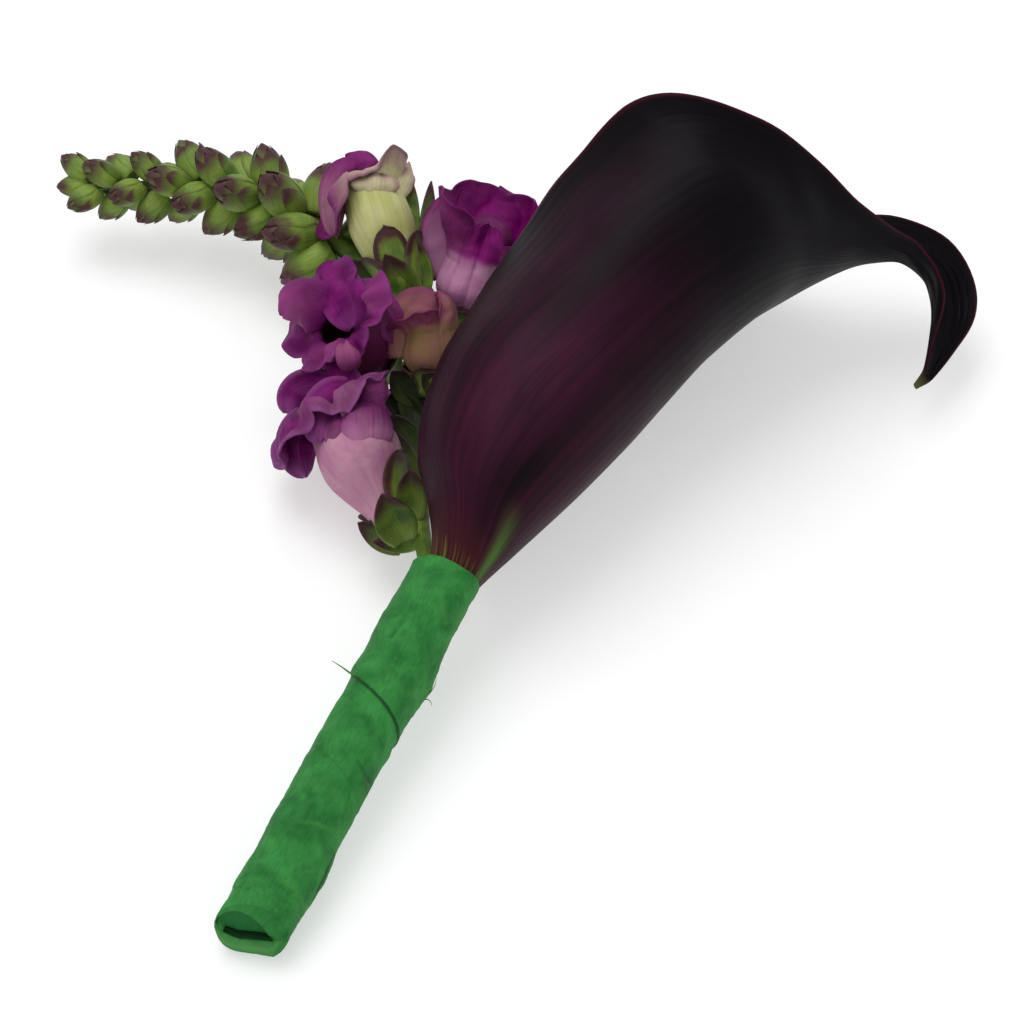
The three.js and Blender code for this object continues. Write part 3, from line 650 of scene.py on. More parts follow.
# %% [markdown]
# ## The floral tape
# Floral tape is a waxed crepe paper that sticks to itself. It is wound in overlapping turns, so each turn
# ends in a low step that spirals down the handle. The bottom is pinched and folded shut. A strip could be
# wound as a helix, but its hidden overlaps would cut into each other, so the sleeve is one closed skin
# here: from the slit of the folded end, out over the handle, over the top rim and down inside.

# %% Plan of the tape
HANDLE_END = np.array([-39.5, -73.2, 5.5])
HANDLE_TOP = calla_point(0.5, -0.9, -1.6)
HANDLE_AXIS = unit(HANDLE_TOP - HANDLE_END)
HANDLE_REACH = np.linalg.norm(HANDLE_TOP - HANDLE_END)
UPWARD = unit(CALLA_RAISED - (CALLA_RAISED @ HANDLE_AXIS) * HANDLE_AXIS)
SIDEWAYS = np.cross(HANDLE_AXIS, UPWARD)
TAPE = {"inner": 5.0, "wall": 0.6, "step": 0.3, "pitch": 13, "first": 0.17, "oval": 0.28,
        "rows": 330, "sides": 150}
OUTER = TAPE["inner"] + TAPE["wall"]
TAPE_END = HANDLE_END - HANDLE_AXIS * 1.5  # the middle of the folded end
END_SLOPE = math.tan(math.radians(25))
LUMPS = ((0.22, 6, 0.0), (0.1, 2.4, 3.0), (0.04, 0.9, 9.0))  # height, size and seed
BULGES = ((1.0, 0.73, 0.06, 88, 26), (0.7, 0.2, 0.07, 80, 30))  # height, place, reach, side, spread
# Each seam's number sets the height of its step and the painted shade along its edge.
SEAMS = {0: 0.25, 1: 0.12, 2: 0.2, 3: 1.0, 4: 0.15, 5: 0.1}  # how clearly each turn's edge shows
# Creases: places as (share of the handle, degrees from its top line), half width, height, and painted shade,
# which below 0 is a painted highlight
CREASES = [
    ([(0.463, 9), (0.448, 27), (0.45, 69)], 0.4, -0.22, 0.5),
    ([(0.85, -30), (0.82, -32), (0.772, -39)], 0.5, -0.25, 0.5),
    ([(0.265, -30), (0.285, 0), (0.297, 39)], 0.5, 0.28, -0.3),
    ([(0.26, 62), (0.225, 60), (0.2, 66), (0.17, 64)], 0.35, -0.25, 1.0),
    ([(0.93, -40), (0.91, -5), (0.86, 20)], 0.5, 0.16, -0.25),
    ([(0.69, -20), (0.66, 20), (0.7, 55)], 0.6, 0.14, -0.2),
    ([(0.36, -60), (0.39, -20), (0.37, 10)], 0.6, 0.12, -0.2),
    ([(0.1, -40), (0.13, 5), (0.11, 50)], 0.5, 0.14, -0.2),
    ([(0.6, 160), (0.5, 190), (0.47, 230)], 0.5, -0.2, 0.5),
    ([(0.3, 150), (0.24, 200), (0.28, 240)], 0.5, 0.2, -0.3),
]


def stroke(points, t, degrees):
    """Distance in millimetres over the handle's skin from each point to a drawn line."""
    spot = field(t * HANDLE_REACH, np.radians(degrees) * OUTER)
    line = np.array([(a * HANDLE_REACH, np.radians(d) * OUTER) for a, d in points])
    best = np.inf
    for start, stop in zip(line, line[1:]):
        way = stop - start
        share = np.clip((spot - start) @ way / (way @ way), 0, 1)
        best = np.minimum(best, np.linalg.norm(spot - start - share[..., None] * way, axis=-1))
    return best


def set_back(up):
    """The end is cut at a slant: how far it lies behind its foot at a height over the handle's middle."""
    return END_SLOPE * (1.6 + up)


def oval(t, angle):
    """The sleeve is taller than it is wide near its top, where it holds both stems."""
    return 1 + TAPE["oval"] * smooth(0.6, 0.88, t) * np.cos(angle) ** 2


print("the handle reaches", round(HANDLE_REACH, 1), "mm")


# %% [markdown]
# The number of turns wound so far says how far each point of the skin is lifted, which makes the low steps.
# Some seams are pressed nearly flat by the fingers, and one is clear. Lumps, bulges over the stems inside
# and creases come on top of that.

# %% The outside of the sleeve
def seam_steps(t, signed):
    """How far each point is lifted by the turn it lies in, and how much painted shade lies along a seam
    there.
    """
    turn = t * HANDLE_REACH / TAPE["pitch"] + signed / 360 - TAPE["first"]
    nearest = np.floor(turn)
    part = turn - nearest
    strength = np.vectorize(lambda k: SEAMS.get(int(k), 0.3))
    own, following = strength(nearest), strength(nearest + 1)
    rise = TAPE["step"] * mix((1 - part) * own, following, smooth(0.965, 1.0, part))
    # Painted shade: a thin line along the edge of each turn, where its step would shade it.
    seam = bell(part, 0.985, 0.02) * following * smooth(0.03, 0.06, t)
    return rise, seam * (0.6 + 0.4 * following)


def tape_outside():
    path = Path([TAPE_END, (HANDLE_END + HANDLE_TOP) / 2, HANDLE_TOP])
    t = np.linspace(0, 1, TAPE["rows"] + 1)[:, None]
    angle = 2 * np.pi * np.arange(TAPE["sides"])[None, :] / TAPE["sides"]
    degrees = np.degrees(angle)
    signed = (degrees + 180) % 360 - 180
    rise, shade = seam_steps(t, signed)
    radius = (OUTER + rise) * oval(t, angle)
    rough, _ = tube(path, t[:, 0], radius, TAPE["sides"], CALLA_RAISED)
    for height, size, seed in LUMPS:
        radius = radius + height * crumple(rough, size, seed)
    for height, place, reach, side, width in BULGES:
        radius = radius + height * bell(t, place, reach) * bell(signed, side, width)
    radius = radius - 0.7 * (1 - smooth(0, 0.1, t)) * bell(degrees, 128, 32)
    light = np.zeros_like(radius)
    for line, width, height, dark in CREASES:
        wrap = degrees if max(d for _, d in line) > 180 else signed
        near = bell(stroke(line, t, wrap), 0, width) * np.clip(0.7 + 0.5 * crumple(rough, 3, 7.0), 0, 1)
        radius = radius + height * near
        # A sunk crease gets painted shade, and a raised one a painted highlight.
        shade, light = np.maximum(shade, dark * near), np.maximum(light, -dark * near)
    skin, _ = tube(path, t[:, 0], radius, TAPE["sides"], CALLA_RAISED)
    slant = set_back(6 * np.cos(angle)) * (1 - smooth(0, 0.14, t))
    slant = np.where(slant < 0, slant * 0.7 * bell(degrees, 205, 50), slant)
    return skin + HANDLE_AXIS * slant[..., None], angle, t, shade, light


skin, angle, t, shade, light = tape_outside()
print("the tape's skin has", skin.shape[0], "rings")

# %% [markdown]
# The folded end has three parts: the outer turn stands proud as an arc, a flap is tucked in behind it, and
# a lower lip is folded up against the flap, which leaves a dark slit. Each ring below is blended between
# the round rim and the flat slit, and then pushed in or out along the handle.

# %% The folded end and the inside
SLIT = {"half_width": 3.9, "half_height": 0.14, "deep": 1.9, "turn": 29.6, "side": -0.1, "up": -0.7}
FOLDS = {"flap": 0.6, "lip": 0.8, "brow": 0.35}  # millimetres in, out and out
# The outer turn's edge over the flap: degrees round the slit, then millimetres along and above the slit
FLAP_EDGE = [
    [-90, -4.9, 0.3], [-75, -4.9, 1.9], [-60, -4.3, 3.4], [-25, -1.9, 4.85],
    [10, 0.4, 4.15], [45, 2.2, 2.2], [75, 3.2, 0.9], [90, 3.6, 0.2],
]
FLAP_SHARE = 0.6  # the share of the way from the slit to the rim at which the flap ends
END_RINGS = [0, 0.006, 0.012, 0.025, 0.05, 0.09, 0.14, 0.2, 0.3, 0.4, 0.5, 0.565, 0.6, 0.635, 0.68, 0.76,
             0.84, 0.92, 0.97]
INNER_RINGS = [0.0, 0.5, 4, 12, 26, 40]  # millimetres below the top rim


def on_end(along_slit, above):
    """Points on the slanting end, by their distances along and above the slit."""
    turn = math.radians(SLIT["turn"])
    side = SLIT["side"] + along_slit * math.cos(turn) - above * math.sin(turn)
    up = SLIT["up"] + along_slit * math.sin(turn) + above * math.cos(turn)
    return TAPE_END + field(side, up, np.maximum(0, set_back(up))) @ np.array([SIDEWAYS, UPWARD, HANDLE_AXIS])


def folded_end(rim, angle):
    """Rings from the slit out to the rim, and how far each side of them lies above the slit, 0 to 1."""
    about = (np.degrees(angle[0]) + SLIT["turn"] + 180) % 360 - 180
    c, s = np.cos(np.radians(about)), np.sin(np.radians(about))
    slit = on_end(SLIT["half_width"] * s, SLIT["half_height"] * c + 0.25 * np.sin(2.4 * s))
    edge = on_end(*along(FLAP_EDGE, about).T)
    edge = np.where((np.abs(about) < 90)[:, None], edge, mix(slit, rim, FLAP_SHARE))
    rings = []
    for share in END_RINGS:
        if share < FLAP_SHARE:
            place = mix(slit, edge, share / FLAP_SHARE)
        else:
            place = mix(edge, rim, (share - FLAP_SHARE) / (1 - FLAP_SHARE))
        flap = -FOLDS["flap"] * smooth(-0.1, 0.2, c) * (1 - smooth(0.57, 0.64, share))
        lip = FOLDS["lip"] * smooth(0.15, -0.35, c) * math.sin(math.pi * share**0.5)
        brow = FOLDS["brow"] * smooth(0, 0.4, c) * bell(share, 0.72, 0.14)
        drop = -SLIT["deep"] * (1 - smooth(0.0, 0.02, share))
        over = smooth(0.1, -0.4, c) * bell(share, 0.07, 0.05)
        rings.append(place - HANDLE_AXIS * (flap + lip + brow + drop)[:, None] + UPWARD * over[:, None])
    return np.array(rings), smooth(-0.1, 0.3, c)


def sleeve_inside(angle):
    rings = []
    for depth in INNER_RINGS:
        share = 1 - depth / HANDLE_REACH
        inner = (TAPE["inner"] + (0.3 if depth == 0 else 0)) * oval(share, angle[0])
        across = np.cos(angle[0])[:, None] * UPWARD + np.sin(angle[0])[:, None] * SIDEWAYS
        rings.append(mix(HANDLE_END, HANDLE_TOP, share) + across * inner[:, None])
    return np.array(rings)


end, above_slit = folded_end(skin[0], angle)
inside = sleeve_inside(angle)
whole = np.concatenate([end, skin, inside])
pole = len(whole) * TAPE["sides"]
faces = grid_faces(len(whole), TAPE["sides"], True).tolist() + fan(pole, list(range(TAPE["sides"])))
faces += [face[::-1] for face in fan(pole + 1, list(range(pole - TAPE["sides"], pole)))]
points = np.vstack([whole.reshape(-1, 3), whole[0].mean(0) + HANDLE_AXIS * 0.2, whole[-1].mean(0)])
points[:, 2] = np.maximum(points[:, 2], 0)


def sleeve_mask(*values):
    """One mask for the end, the skin and the inside, and zero for the two poles."""
    parts = [np.broadcast_to(value, rings.shape[:2]) for value, rings in zip(values, (end, skin, inside))]
    return np.append(np.concatenate(parts), [0, 0])


end_share = np.array(END_RINGS)[:, None]
# Painted shade along the edge of the outer turn, where it overhangs the flap.
flap_edge_shade = 0.75 * bell(end_share, FLAP_SHARE, 0.035) * above_slit
masks = {
    # Painted shade in the slit, under the flap's edge, along seams and sunk creases, and inside the sleeve.
    "shade": sleeve_mask(np.maximum(1 - smooth(0.012, 0.05, end_share), flap_edge_shade), shade, 0.5),
    # Painted highlight on the lower lip of the folded end and on raised creases.
    "light": sleeve_mask(0.7 * (1 - above_slit) * bell(end_share, 0.4, 0.3), light, 0),
    # The tucked flap is painted a little darker, as shade in its recess behind the outer turn.
    "tucked": sleeve_mask(above_slit * (1 - smooth(0.58, 0.64, end_share)), 0, 0),
    "grain": field(sleeve_mask(*[6 * np.cos(angle)] * 3), sleeve_mask(*[6 * np.sin(angle)] * 3),
                   sleeve_mask(-0.02, t, 1.0) * HANDLE_REACH),
}
tape = Shape()
tape.add(points, faces, **masks)
print("the sleeve has", len(whole), "rings of", TAPE["sides"], "points")

# %% [markdown]
# The paper is a clear mid green, mottled where the wax is thicker or the crepe is stretched. Seams, sunk
# creases, the slit of the folded end and the inside of the sleeve get painted shade, the tucked flap a little
# of it, and raised wrinkles and the lower lip of the end a painted highlight.


# %% Finish of the tape
def tape_finish():
    finish = Finish("floral_paper", 0.66, Specular_IOR_Level=0.15)
    mask, ramp, times = finish.mask, finish.ramp, finish.times
    blotches = finish.noise(finish.place(), 0.2, 4.0, 0.6)
    specks = finish.noise(finish.place(), 1.1, 4.0, 0.4)
    crepe = finish.noise(finish.grain(3.2, 3.2, 0.6), 1.0, 4.0, 0.5)
    paper = finish.mix(ramp(blotches, 0.32, 0.68), (22, 98, 38), (54, 136, 62))
    coats = [
        (ramp(specks, 0.55, 0.8, 0.0, 0.45), (66, 140, 66)),
        (ramp(crepe, 0.52, 0.3, 0.0, 0.3), (12, 70, 24)),
        # Painted highlight on raised creases, the lower lip of the end and the threads.
        (times(mask("light"), 0.8), (84, 150, 70)),
        # Painted shade on the tucked flap, in its recess behind the outer turn.
        (mask("tucked"), (32, 106, 48)),
        # Painted shade in seams, sunk creases, the slit, under the flap's edge and inside the sleeve.
        (times(mask("shade"), 0.92), (6, 34, 16)),
    ]
    height = finish.plus(crepe, times(specks, 0.7))
    return finish.done(paper, coats, ramp(blotches, 0.3, 0.7, 0.56, 0.72), height, 0.16)


floral_paper = tape_finish()
new_piece("floral_tape_wound", tape, floral_paper, "tape", "floral_tape")

# %% [markdown]
# Crepe paper frays. A torn thread stands off the clearest seam on the left, and another curls at the right,
# where the tape was pulled. Each is a thin tapering tube.

# %% Frayed threads
THREADS = [  # start on the handle (share, degrees, lift), moves in millimetres sideways, up and along, radius
    ((0.652, -62, 0.0), [(-1.6, 0.3, 0.4), (-3.4, 0.9, 1.2), (-5.2, 2.2, 1.6)], 0.22),
    ((0.70, 84, 0.9), [(0.8, 0.5, 0.6), (1.3, 1.4, 1.9), (1.0, 2.0, 3.0)], 0.13),
    ((0.70, 84, 0.9), [(1.2, 0.2, -0.2), (2.0, 0.2, -1.0), (2.2, 0.6, -1.6)], 0.11),
]
THREAD_RINGS, THREAD_SIDES = 15, 6

frayed = Shape()
for (share, degrees, lift), moves, thick in THREADS:
    turn = math.radians(degrees)
    side = CALLA_RAISED * math.cos(turn) + CALLA_BACK * math.sin(turn)
    start = mix(HANDLE_END, HANDLE_TOP, share) + side * (OUTER - 0.5 + lift)
    path = Path([start, *(start + np.array([x, 0, z]) + HANDLE_AXIS * a for x, z, a in moves)])
    along_thread = np.linspace(0, 1, THREAD_RINGS)
    thread, _ = tube(path, along_thread, (thick * (1 - 0.8 * along_thread))[:, None], THREAD_SIDES)
    # The threads get part of the tape's painted highlight, so they show paler.
    frayed.add(thread, closed_rings(THREAD_RINGS, THREAD_SIDES), light=0.5, grain=0.0)
new_piece("frayed_threads", frayed, floral_paper, "tape")

# %% [markdown]
# ## The snapdragon's blooms
# A snapdragon bloom is a tube that ends in two lips. The upper lip has two lobes, the lower one three, and
# between them the lower lip swells into a palate that shuts the mouth. One rule makes all five blooms: a
# line starts at the foot of the tube, runs to the mouth, and then its heading turns outwards and back as
# the lip curls. Its length decides the outline of the lobes. Each bloom could be sculpted by hand instead,
# but a rule keeps them one kind of flower from all sides.

# %% Plan of the blooms
BLOOM = {"wall": 0.5, "lip_wall": 0.36, "narrow": 0.86, "columns": 168, "tube_rows": 30, "lip_rows": 56}
# Grooves down the tube: depth, degrees from the upper side, width, and the shares over which they deepen
GROOVES = ((0.32, 180, 6, 0.05, 0.4), (0.16, 148, 7, 0.2, 0.6))

# A lobe: degrees round the tube (0 is the upper side), half width, length beyond the collar, heading where it
# leaves the tube, heading at its tip, millimetres that it takes to bend, paleness.
# Headings: 0 is straight on, 90 outwards, 180 folded back, and below 0 it leans in over the mouth.
BLOOM_KEYS = ("slot", "base", "mouth", "upper", "bract", "neck", "throat", "swell", "collar", "ruffle",
              "sepals", "lobes")
BLOOMS = [dict(zip(BLOOM_KEYS, row)) for row in [
    # Cream tube with its lips pursed
    ("petal_cream", (-18.4, 46, 18), (-24.2, 64, 22), (0, 0.65, -0.76), (0.6, 0.2, 0.8),
     2.8, 5.8, 0.22, 2, 0.5, [6, 8.6, 8.6, 7, 6],
     [(180, 46, 3, 0, 176, 4, 0.8), (-108, 50, 9, 35, 176, 5, 0), (112, 44, 3.6, 20, 55, 5, 0.9),
      (-38, 50, 3.4, 20, 80, 6, 0), (36, 44, 3, 15, 60, 6, 0.3)]),
    # Half hidden behind the calla
    ("petal_magenta", (-9.4, 44, 10.5), (-5.8, 50.4, 19), (0, 0.65, -0.76), (-0.6, -0.5, 0.6),
     2.8, 6, 0.25, 2.5, 0.3, [6, 5, 4, 5, 6],
     [(175, 38, 6, -15, -38, 8, 0), (-96, 60, 9.5, 15, 36, 8, 0.1), (110, 34, 5, -10, 90, 8, 0.1),
      (-25, 58, 10.5, 5, 36, 10, 0), (34, 50, 10.5, 5, 22, 10, 0)]),
    # Deep purple with its mouth half open, turned to the one who looks at it
    ("petal_deep", (-22, 35.4, 10.2), (-27.7, 33.4, 21.6), (0, 0.79, 0.62), (0.5, -0.9, 0.1),
     3, 5.8, 0.25, 4.6, 0.8, [6, 5, 0, 0, 5],
     [(-20, 46, 8, -70, 100, 8, 0), (-88, 46, 9, -70, 110, 7, 0.05), (62, 46, 8.5, -70, 95, 8, 0.25),
      (124, 36, 4.5, -75, 105, 7, 0), (-145, 38, 5.5, -75, 120, 7, 0), (180, 34, 3.5, -85, 100, 7, 0.5)]),
    # Small and half open, with a hood
    ("petal_cream", (-12.4, 26.4, 15), (-13.3, 33.3, 21.2), (0.8, 0.4, 0.3), (0.5, -0.6, 0.6),
     2.2, 4.2, 0.3, 1.4, 0.4, [4, 4, 4, 4, 4],
     [(0, 72, 6, 5, -60, 8, 0.5), (110, 38, 4, 10, 90, 5, 0.2), (-110, 38, 4.5, 10, 100, 5, 0.2),
      (180, 34, 3.4, 10, 130, 5, 0.1)]),
    # Large, with ruffled lips and a pale pouch
    ("petal_magenta", (-19.8, 1.6, 10.5), (-27.8, 19.8, 13.6), (0, 0.65, -0.76), (-0.5, -0.7, 0.3),
     2.9, 7.1, 0.3, 3, 0.9, [7, 9.5, 0, 0, 6],
     [(172, 46, 6.5, -35, 176, 6, 0.4), (-112, 50, 11, -5, 150, 8, 0), (-45, 44, 4.6, -5, 60, 9, 0),
      (35, 44, 4, -5, 45, 9, 0), (108, 38, 5, -10, 110, 7, 0.2)]),
]]


def bloom_frame(bloom):
    base, mouth, upper = (np.array(bloom[key], float) for key in ("base", "mouth", "upper"))
    z = unit(mouth - base)
    y = unit(upper - (upper @ z) * z)
    return base, np.array([np.cross(y, z), y, z]), np.linalg.norm(mouth - base)


def round_bloom(bloom, r, angle, z):
    """Points at a radius, an angle and a height in the frame of a bloom, whose tube is a little narrow."""
    base, axes, _ = bloom_frame(bloom)
    return base + field(BLOOM["narrow"] * r * np.sin(angle), r * np.cos(angle), z) @ axes


def tube_radius(bloom, s, angle):
    neck = mix(bloom["neck"], bloom["throat"], smooth(-0.1, 0.75, s))
    return neck * (1 + bloom["swell"] * bell(s, 0.5, 0.3) * (0.55 - 0.45 * np.cos(angle)))


print(len(BLOOMS), "blooms")


# %% [markdown]
# At each angle the outline reaches as far as the longest lobe there, and the way it bends is blended
# between the lobes around. So each lobe is its own, and the sheet that carries them stays whole. Waves
# ruffle the free part of the lips.

# %% The rule of a bloom
def lobe_rule(bloom, degrees):
    """Reach of the petal edge at each angle, the place across its lobe, and the blended ways of its lobes."""
    middle, half, length, *ways = np.array(bloom["lobes"], float).T[:, :, None]
    off = ((degrees - middle + 540) % 360 - 180) / half
    own = length * np.clip(1 - np.abs(off) ** 2.6, 0, 1) ** 0.6
    across = np.take_along_axis(off, own.argmax(0)[None], 0)[0]
    weight = np.exp(-1.5 * off**2)
    weight = weight / weight.sum(0)
    return bloom["collar"] + own.max(0), np.clip(across, -1, 1), [(weight * way).sum(0) for way in ways]


def ruffles(bloom, phase, angle, out, across, t):
    """Waves and a soft belly of the lips, in millimetres along their normal."""
    free = smooth(0.5 * bloom["collar"], bloom["collar"] + 5, out)
    waves = free * np.sin(7 * angle + phase + 0.25 * out)
    waves = waves + 0.4 * free**2 * np.sin(17 * angle + 1.7 * phase - 0.4 * out)
    return bloom["ruffle"] * waves + 0.7 * (1 - across**2) * np.sin(np.pi * t)


def bloom_grid(bloom, phase):
    """The middle surface of one bloom, with masks for its colours."""
    tube_length = bloom_frame(bloom)[-1]
    angle = 2 * np.pi * np.arange(BLOOM["columns"]) / BLOOM["columns"]
    degrees = np.degrees(angle)
    folded = np.where(degrees > 180, 360 - degrees, degrees)
    s = np.linspace(0, 1, BLOOM["tube_rows"] + 1)[:, None]
    tube_r = tube_radius(bloom, s, angle[None])
    for depth, side, width, low, high in GROOVES:
        tube_r = tube_r - depth * bell(folded, side, width) * smooth(low, high, s)
    reach, across, (start, tip, bend, pale) = lobe_rule(bloom, degrees)
    t = np.arange(1, BLOOM["lip_rows"] + 1)[:, None] / BLOOM["lip_rows"]
    out, pace = t * reach, reach / BLOOM["lip_rows"]
    heading = np.radians(mix(start, tip, smooth(0, 1, out / bend)))
    ruffle = ruffles(bloom, phase, angle, out, across, t)
    lip_r = tube_r[-1] + np.cumsum(pace * np.sin(heading), 0) + ruffle * np.cos(heading)
    lip_z = tube_length + np.cumsum(pace * np.cos(heading), 0) - ruffle * np.sin(heading)
    both = lambda of_tube, of_lip: np.vstack([of_tube + 0 * tube_r, of_lip + 0 * lip_r])
    grid = round_bloom(bloom, both(tube_r, np.maximum(lip_r, 0.9)), angle, both(s * tube_length, lip_z))
    run = both(s * tube_length, tube_length + out)
    return grid, {
        "lip": both(0.25 * smooth(0.7, 1.0, s), 0.25 + 0.75 * smooth(0, bloom["collar"] + 1.5, out)),
        "edge": both(0, smooth(0.8, 1, t)),
        "pale": both(0.5 * pale * smooth(0.6, 1.0, s), pale * mix(1, 0.5, t)),
        "foot": both(1 - smooth(0, 0.5, s), 0),
        "grain": field(4 * np.cos(angle), 4 * np.sin(angle), 0.12 * run),
    }


print("each bloom has", BLOOM["tube_rows"] + 1 + BLOOM["lip_rows"], "rings of", BLOOM["columns"], "points")

# %% [markdown]
# Petals are soft and slightly damp, with veins that fan out from the tube. Their colour changes along the
# bloom: pale or cream on the tube, a flush towards the mouth, strong purple on the lobes with paler mottles
# that are partly their own tone and partly a painted highlight, often a darker edge, and a pale palate. The
# inner face of the tube and the root of the lips are painted darker: the throat's own tone, deepened by
# painted shade. So one function takes seven colours and lays them out by the masks.


# %% Finish of the petals
def petal_finish(name, tube_colour, flush, lobe, lobe_highlight, edge, palate, inside):
    finish = Finish(name, 0.48, Subsurface_Weight=0.05, Subsurface_Scale=0.001, Specular_IOR_Level=0.07)
    mask, ramp, times = finish.mask, finish.ramp, finish.times
    veins = finish.noise(finish.grain(2.6, 2.6, 0.5), 1.0, 4.0, 0.6)
    clouds = finish.noise(finish.place(), 0.22, 3.0, 0.4)
    lip = mask("lip")
    uneven = finish.plus(lip, ramp(clouds, 0.3, 0.7, -0.15, 0.15))
    coats = [
        (times(ramp(clouds, 0.35, 0.65), 0.5), flush),
        (times(mask("foot"), 0.5), tube_colour),
        (ramp(uneven, 0.2, 0.6), flush),
        (ramp(uneven, 0.35, 0.8), lobe),
        # Paler mottles on the lobes: partly their own tone, partly a painted highlight.
        (times(ramp(uneven, 0.5, 0.9), ramp(clouds, 0.42, 0.66, 0.0, 0.6)), lobe_highlight),
        (times(mask("pale"), ramp(veins, 0.2, 0.45, 0.5, 1.0)), palate),
        (times(mask("edge"), 0.5), edge),
        # The throat's own tone, deepened by painted shade, on the inner face of the tube and the root of the
        # lips.
        (times(ramp(mask("side"), 0.6, 0.4), ramp(lip, 0.6, 0.26)), inside),
        (ramp(veins, 0.52, 0.72, 0.0, 0.16), edge),
    ]
    height = finish.plus(times(veins, 0.6), clouds)
    return finish.done(colour(*tube_colour), coats, ramp(clouds, 0.3, 0.7, 0.42, 0.58), height, 0.25)


# Tube, flush, lobe and lobe highlight, then edge, palate and the painted shade of the inside
PETAL_COLOURS = [
    ((172, 176, 104), (196, 190, 150), (110, 24, 92), (142, 50, 122),
     (90, 12, 80), (200, 192, 150), (140, 128, 84)),
    ((190, 138, 168), (150, 50, 128), (100, 4, 82), (138, 14, 116),
     (76, 2, 64), (204, 162, 182), (40, 4, 34)),
    ((84, 30, 52), (116, 32, 98), (84, 2, 72), (132, 26, 112),
     # The paler edge of this bloom is partly its own pale rim and partly a painted highlight on its folds.
     (124, 54, 118), (176, 104, 140), (84, 36, 32)),
    ((126, 104, 66), (144, 84, 92), (118, 30, 86), (150, 74, 112),
     (104, 16, 78), (166, 134, 98), (92, 66, 44)),
    ((188, 140, 158), (150, 66, 126), (84, 3, 72), (126, 20, 108),
     # The paler edge of this bloom is partly its own pale rim and partly a painted highlight on its folds.
     (140, 78, 136), (190, 132, 164), (40, 5, 36)),
]
petals = [petal_finish(f"petal_{k + 1}", *colours) for k, colours in enumerate(PETAL_COLOURS)]

PETAL_FOLDS = ((0.5, 7, 0), (0.3, 3.6, 4), (0.08, 1.5, 9))  # height and size in millimetres, and a seed

bloom_points = []
for k, bloom in enumerate(BLOOMS):
    grid, masks = bloom_grid(bloom, k)
    folds = sum(height * crumple(grid, size, k + seed) for height, size, seed in PETAL_FOLDS)
    grid = grid + sheet_normals(grid, True) * (folds * (0.3 + 0.7 * masks["lip"]))[..., None]
    grid[..., 2] = np.maximum(grid[..., 2], BLOOM["wall"] / 2)
    bloom_points.append(grid[::3, ::6].reshape(-1, 3))
    corolla = Shape()
    corolla.add_sheet(grid, mix(BLOOM["wall"], BLOOM["lip_wall"], masks["lip"]), True, 0.0, **masks)
    new_piece(f"corolla_{k + 1}", corolla, petals[k], bloom["slot"], f"snapdragon_bloom_{k + 1}")

# %% [markdown]
# The lips of a real bloom are lobes that fold over each other, which one sheet can't do. So some lobes are
# petals of their own: a rounded patch along a bent midline, cupped across and turned towards the camera.

# %% Folded lobes
TO_VIEWER = unit(offset)
# A lobe: its bloom, root, middle, tip, width, how far its sides bend away, paleness at the root and at the
# tip, and lip (its share of colour)
LOBES = [
    (0, (-23.4, 59.5, 26), (-23.2, 59.5, 29.5), (-23.1, 63.7, 28), 8, 0.8, (0.9, 0.5), 0.75),
    (0, (-26.8, 67.9, 24), (-31.8, 66.5, 25.5), (-30.4, 54.9, 22), 5, 1.2, (0, 0.3), 0.95),
    (0, (-24.8, 66.5, 21), (-26.8, 68.4, 24), (-29.2, 72.9, 22), 7.5, 1, (0, 0), 0.95),
    (0, (-21.9, 62.3, 23), (-19.5, 64.2, 25), (-17.8, 71.7, 22), 6, 0.8, (1, 0.5), 0.7),
    (1, (-11.2, 48.5, 19), (-14.3, 54.9, 22), (-9.2, 62.3, 24), 7, 1.6, (0.35, 0), 0.95),
    (1, (-3.7, 53.5, 19), (-1, 60, 22), (-2.1, 67, 21), 11, 2, (0, 0), 1),
    (1, (-7.8, 49.9, 20), (-4.7, 55.8, 25), (-1.4, 50.8, 23), 7, 1.4, (0, 0.1), 1),
    (2, (-32.5, 44.5, 24), (-27.5, 35.2, 30), (-26.3, 29, 28), 8, 1.6, (0, 0), 0.95),
    (2, (-30.2, 34.3, 25), (-35.4, 35.2, 28), (-38.6, 34.7, 23), 9, 1.4, (0, 0.4), 0.9),
    (2, (-25.1, 39.6, 22), (-20.9, 34.3, 25), (-19.3, 31.6, 20), 7.5, 1.2, (0.1, 0.3), 0.95),
    (2, (-26.4, 23.8, 22), (-27, 23.8, 26), (-27.5, 28.6, 25), 3.8, 0.8, (0.2, 0.7), 0.9),
    (3, (-17.3, 29.8, 19), (-17.7, 38.7, 25), (-11.8, 34.3, 22.5), 9, 1.4, (0.5, 0.1), 0.7),
    (4, (-31.5, 20.2, 15), (-38.2, 15.9, 16), (-34, 11, 10), 7, 1.4, (0, 0), 1),
    (4, (-28.8, 21.5, 17), (-35.1, 25.5, 19), (-37.2, 20.2, 16), 7.5, 1.4, (0, 0), 1),
    (4, (-26.6, 20.3, 21), (-32.1, 18.7, 22), (-31.7, 11.8, 19), 7, 1.2, (0, 0.1), 0.95),
    (4, (-26.4, 18.6, 18), (-28.6, 22.5, 22), (-32.3, 28.5, 18), 8, 1.2, (0, 0), 1),
    (4, (-24, 16.9, 19), (-23, 20.4, 22), (-19.8, 22, 19), 8, 1.2, (0, 0.2), 0.9),
    (4, (-24.7, 19.9, 20), (-24.5, 11.5, 23.6), (-24.4, 8.8, 19.2), 10, 2.8, (0, 1), 0.8),
    (4, (-27.4, 18.4, 20), (-28.3, 11.5, 22), (-28.7, 10.1, 18), 5, 1, (0, 0.4), 0.95),
]
LOBE_WALL = (0.45, 0.3)


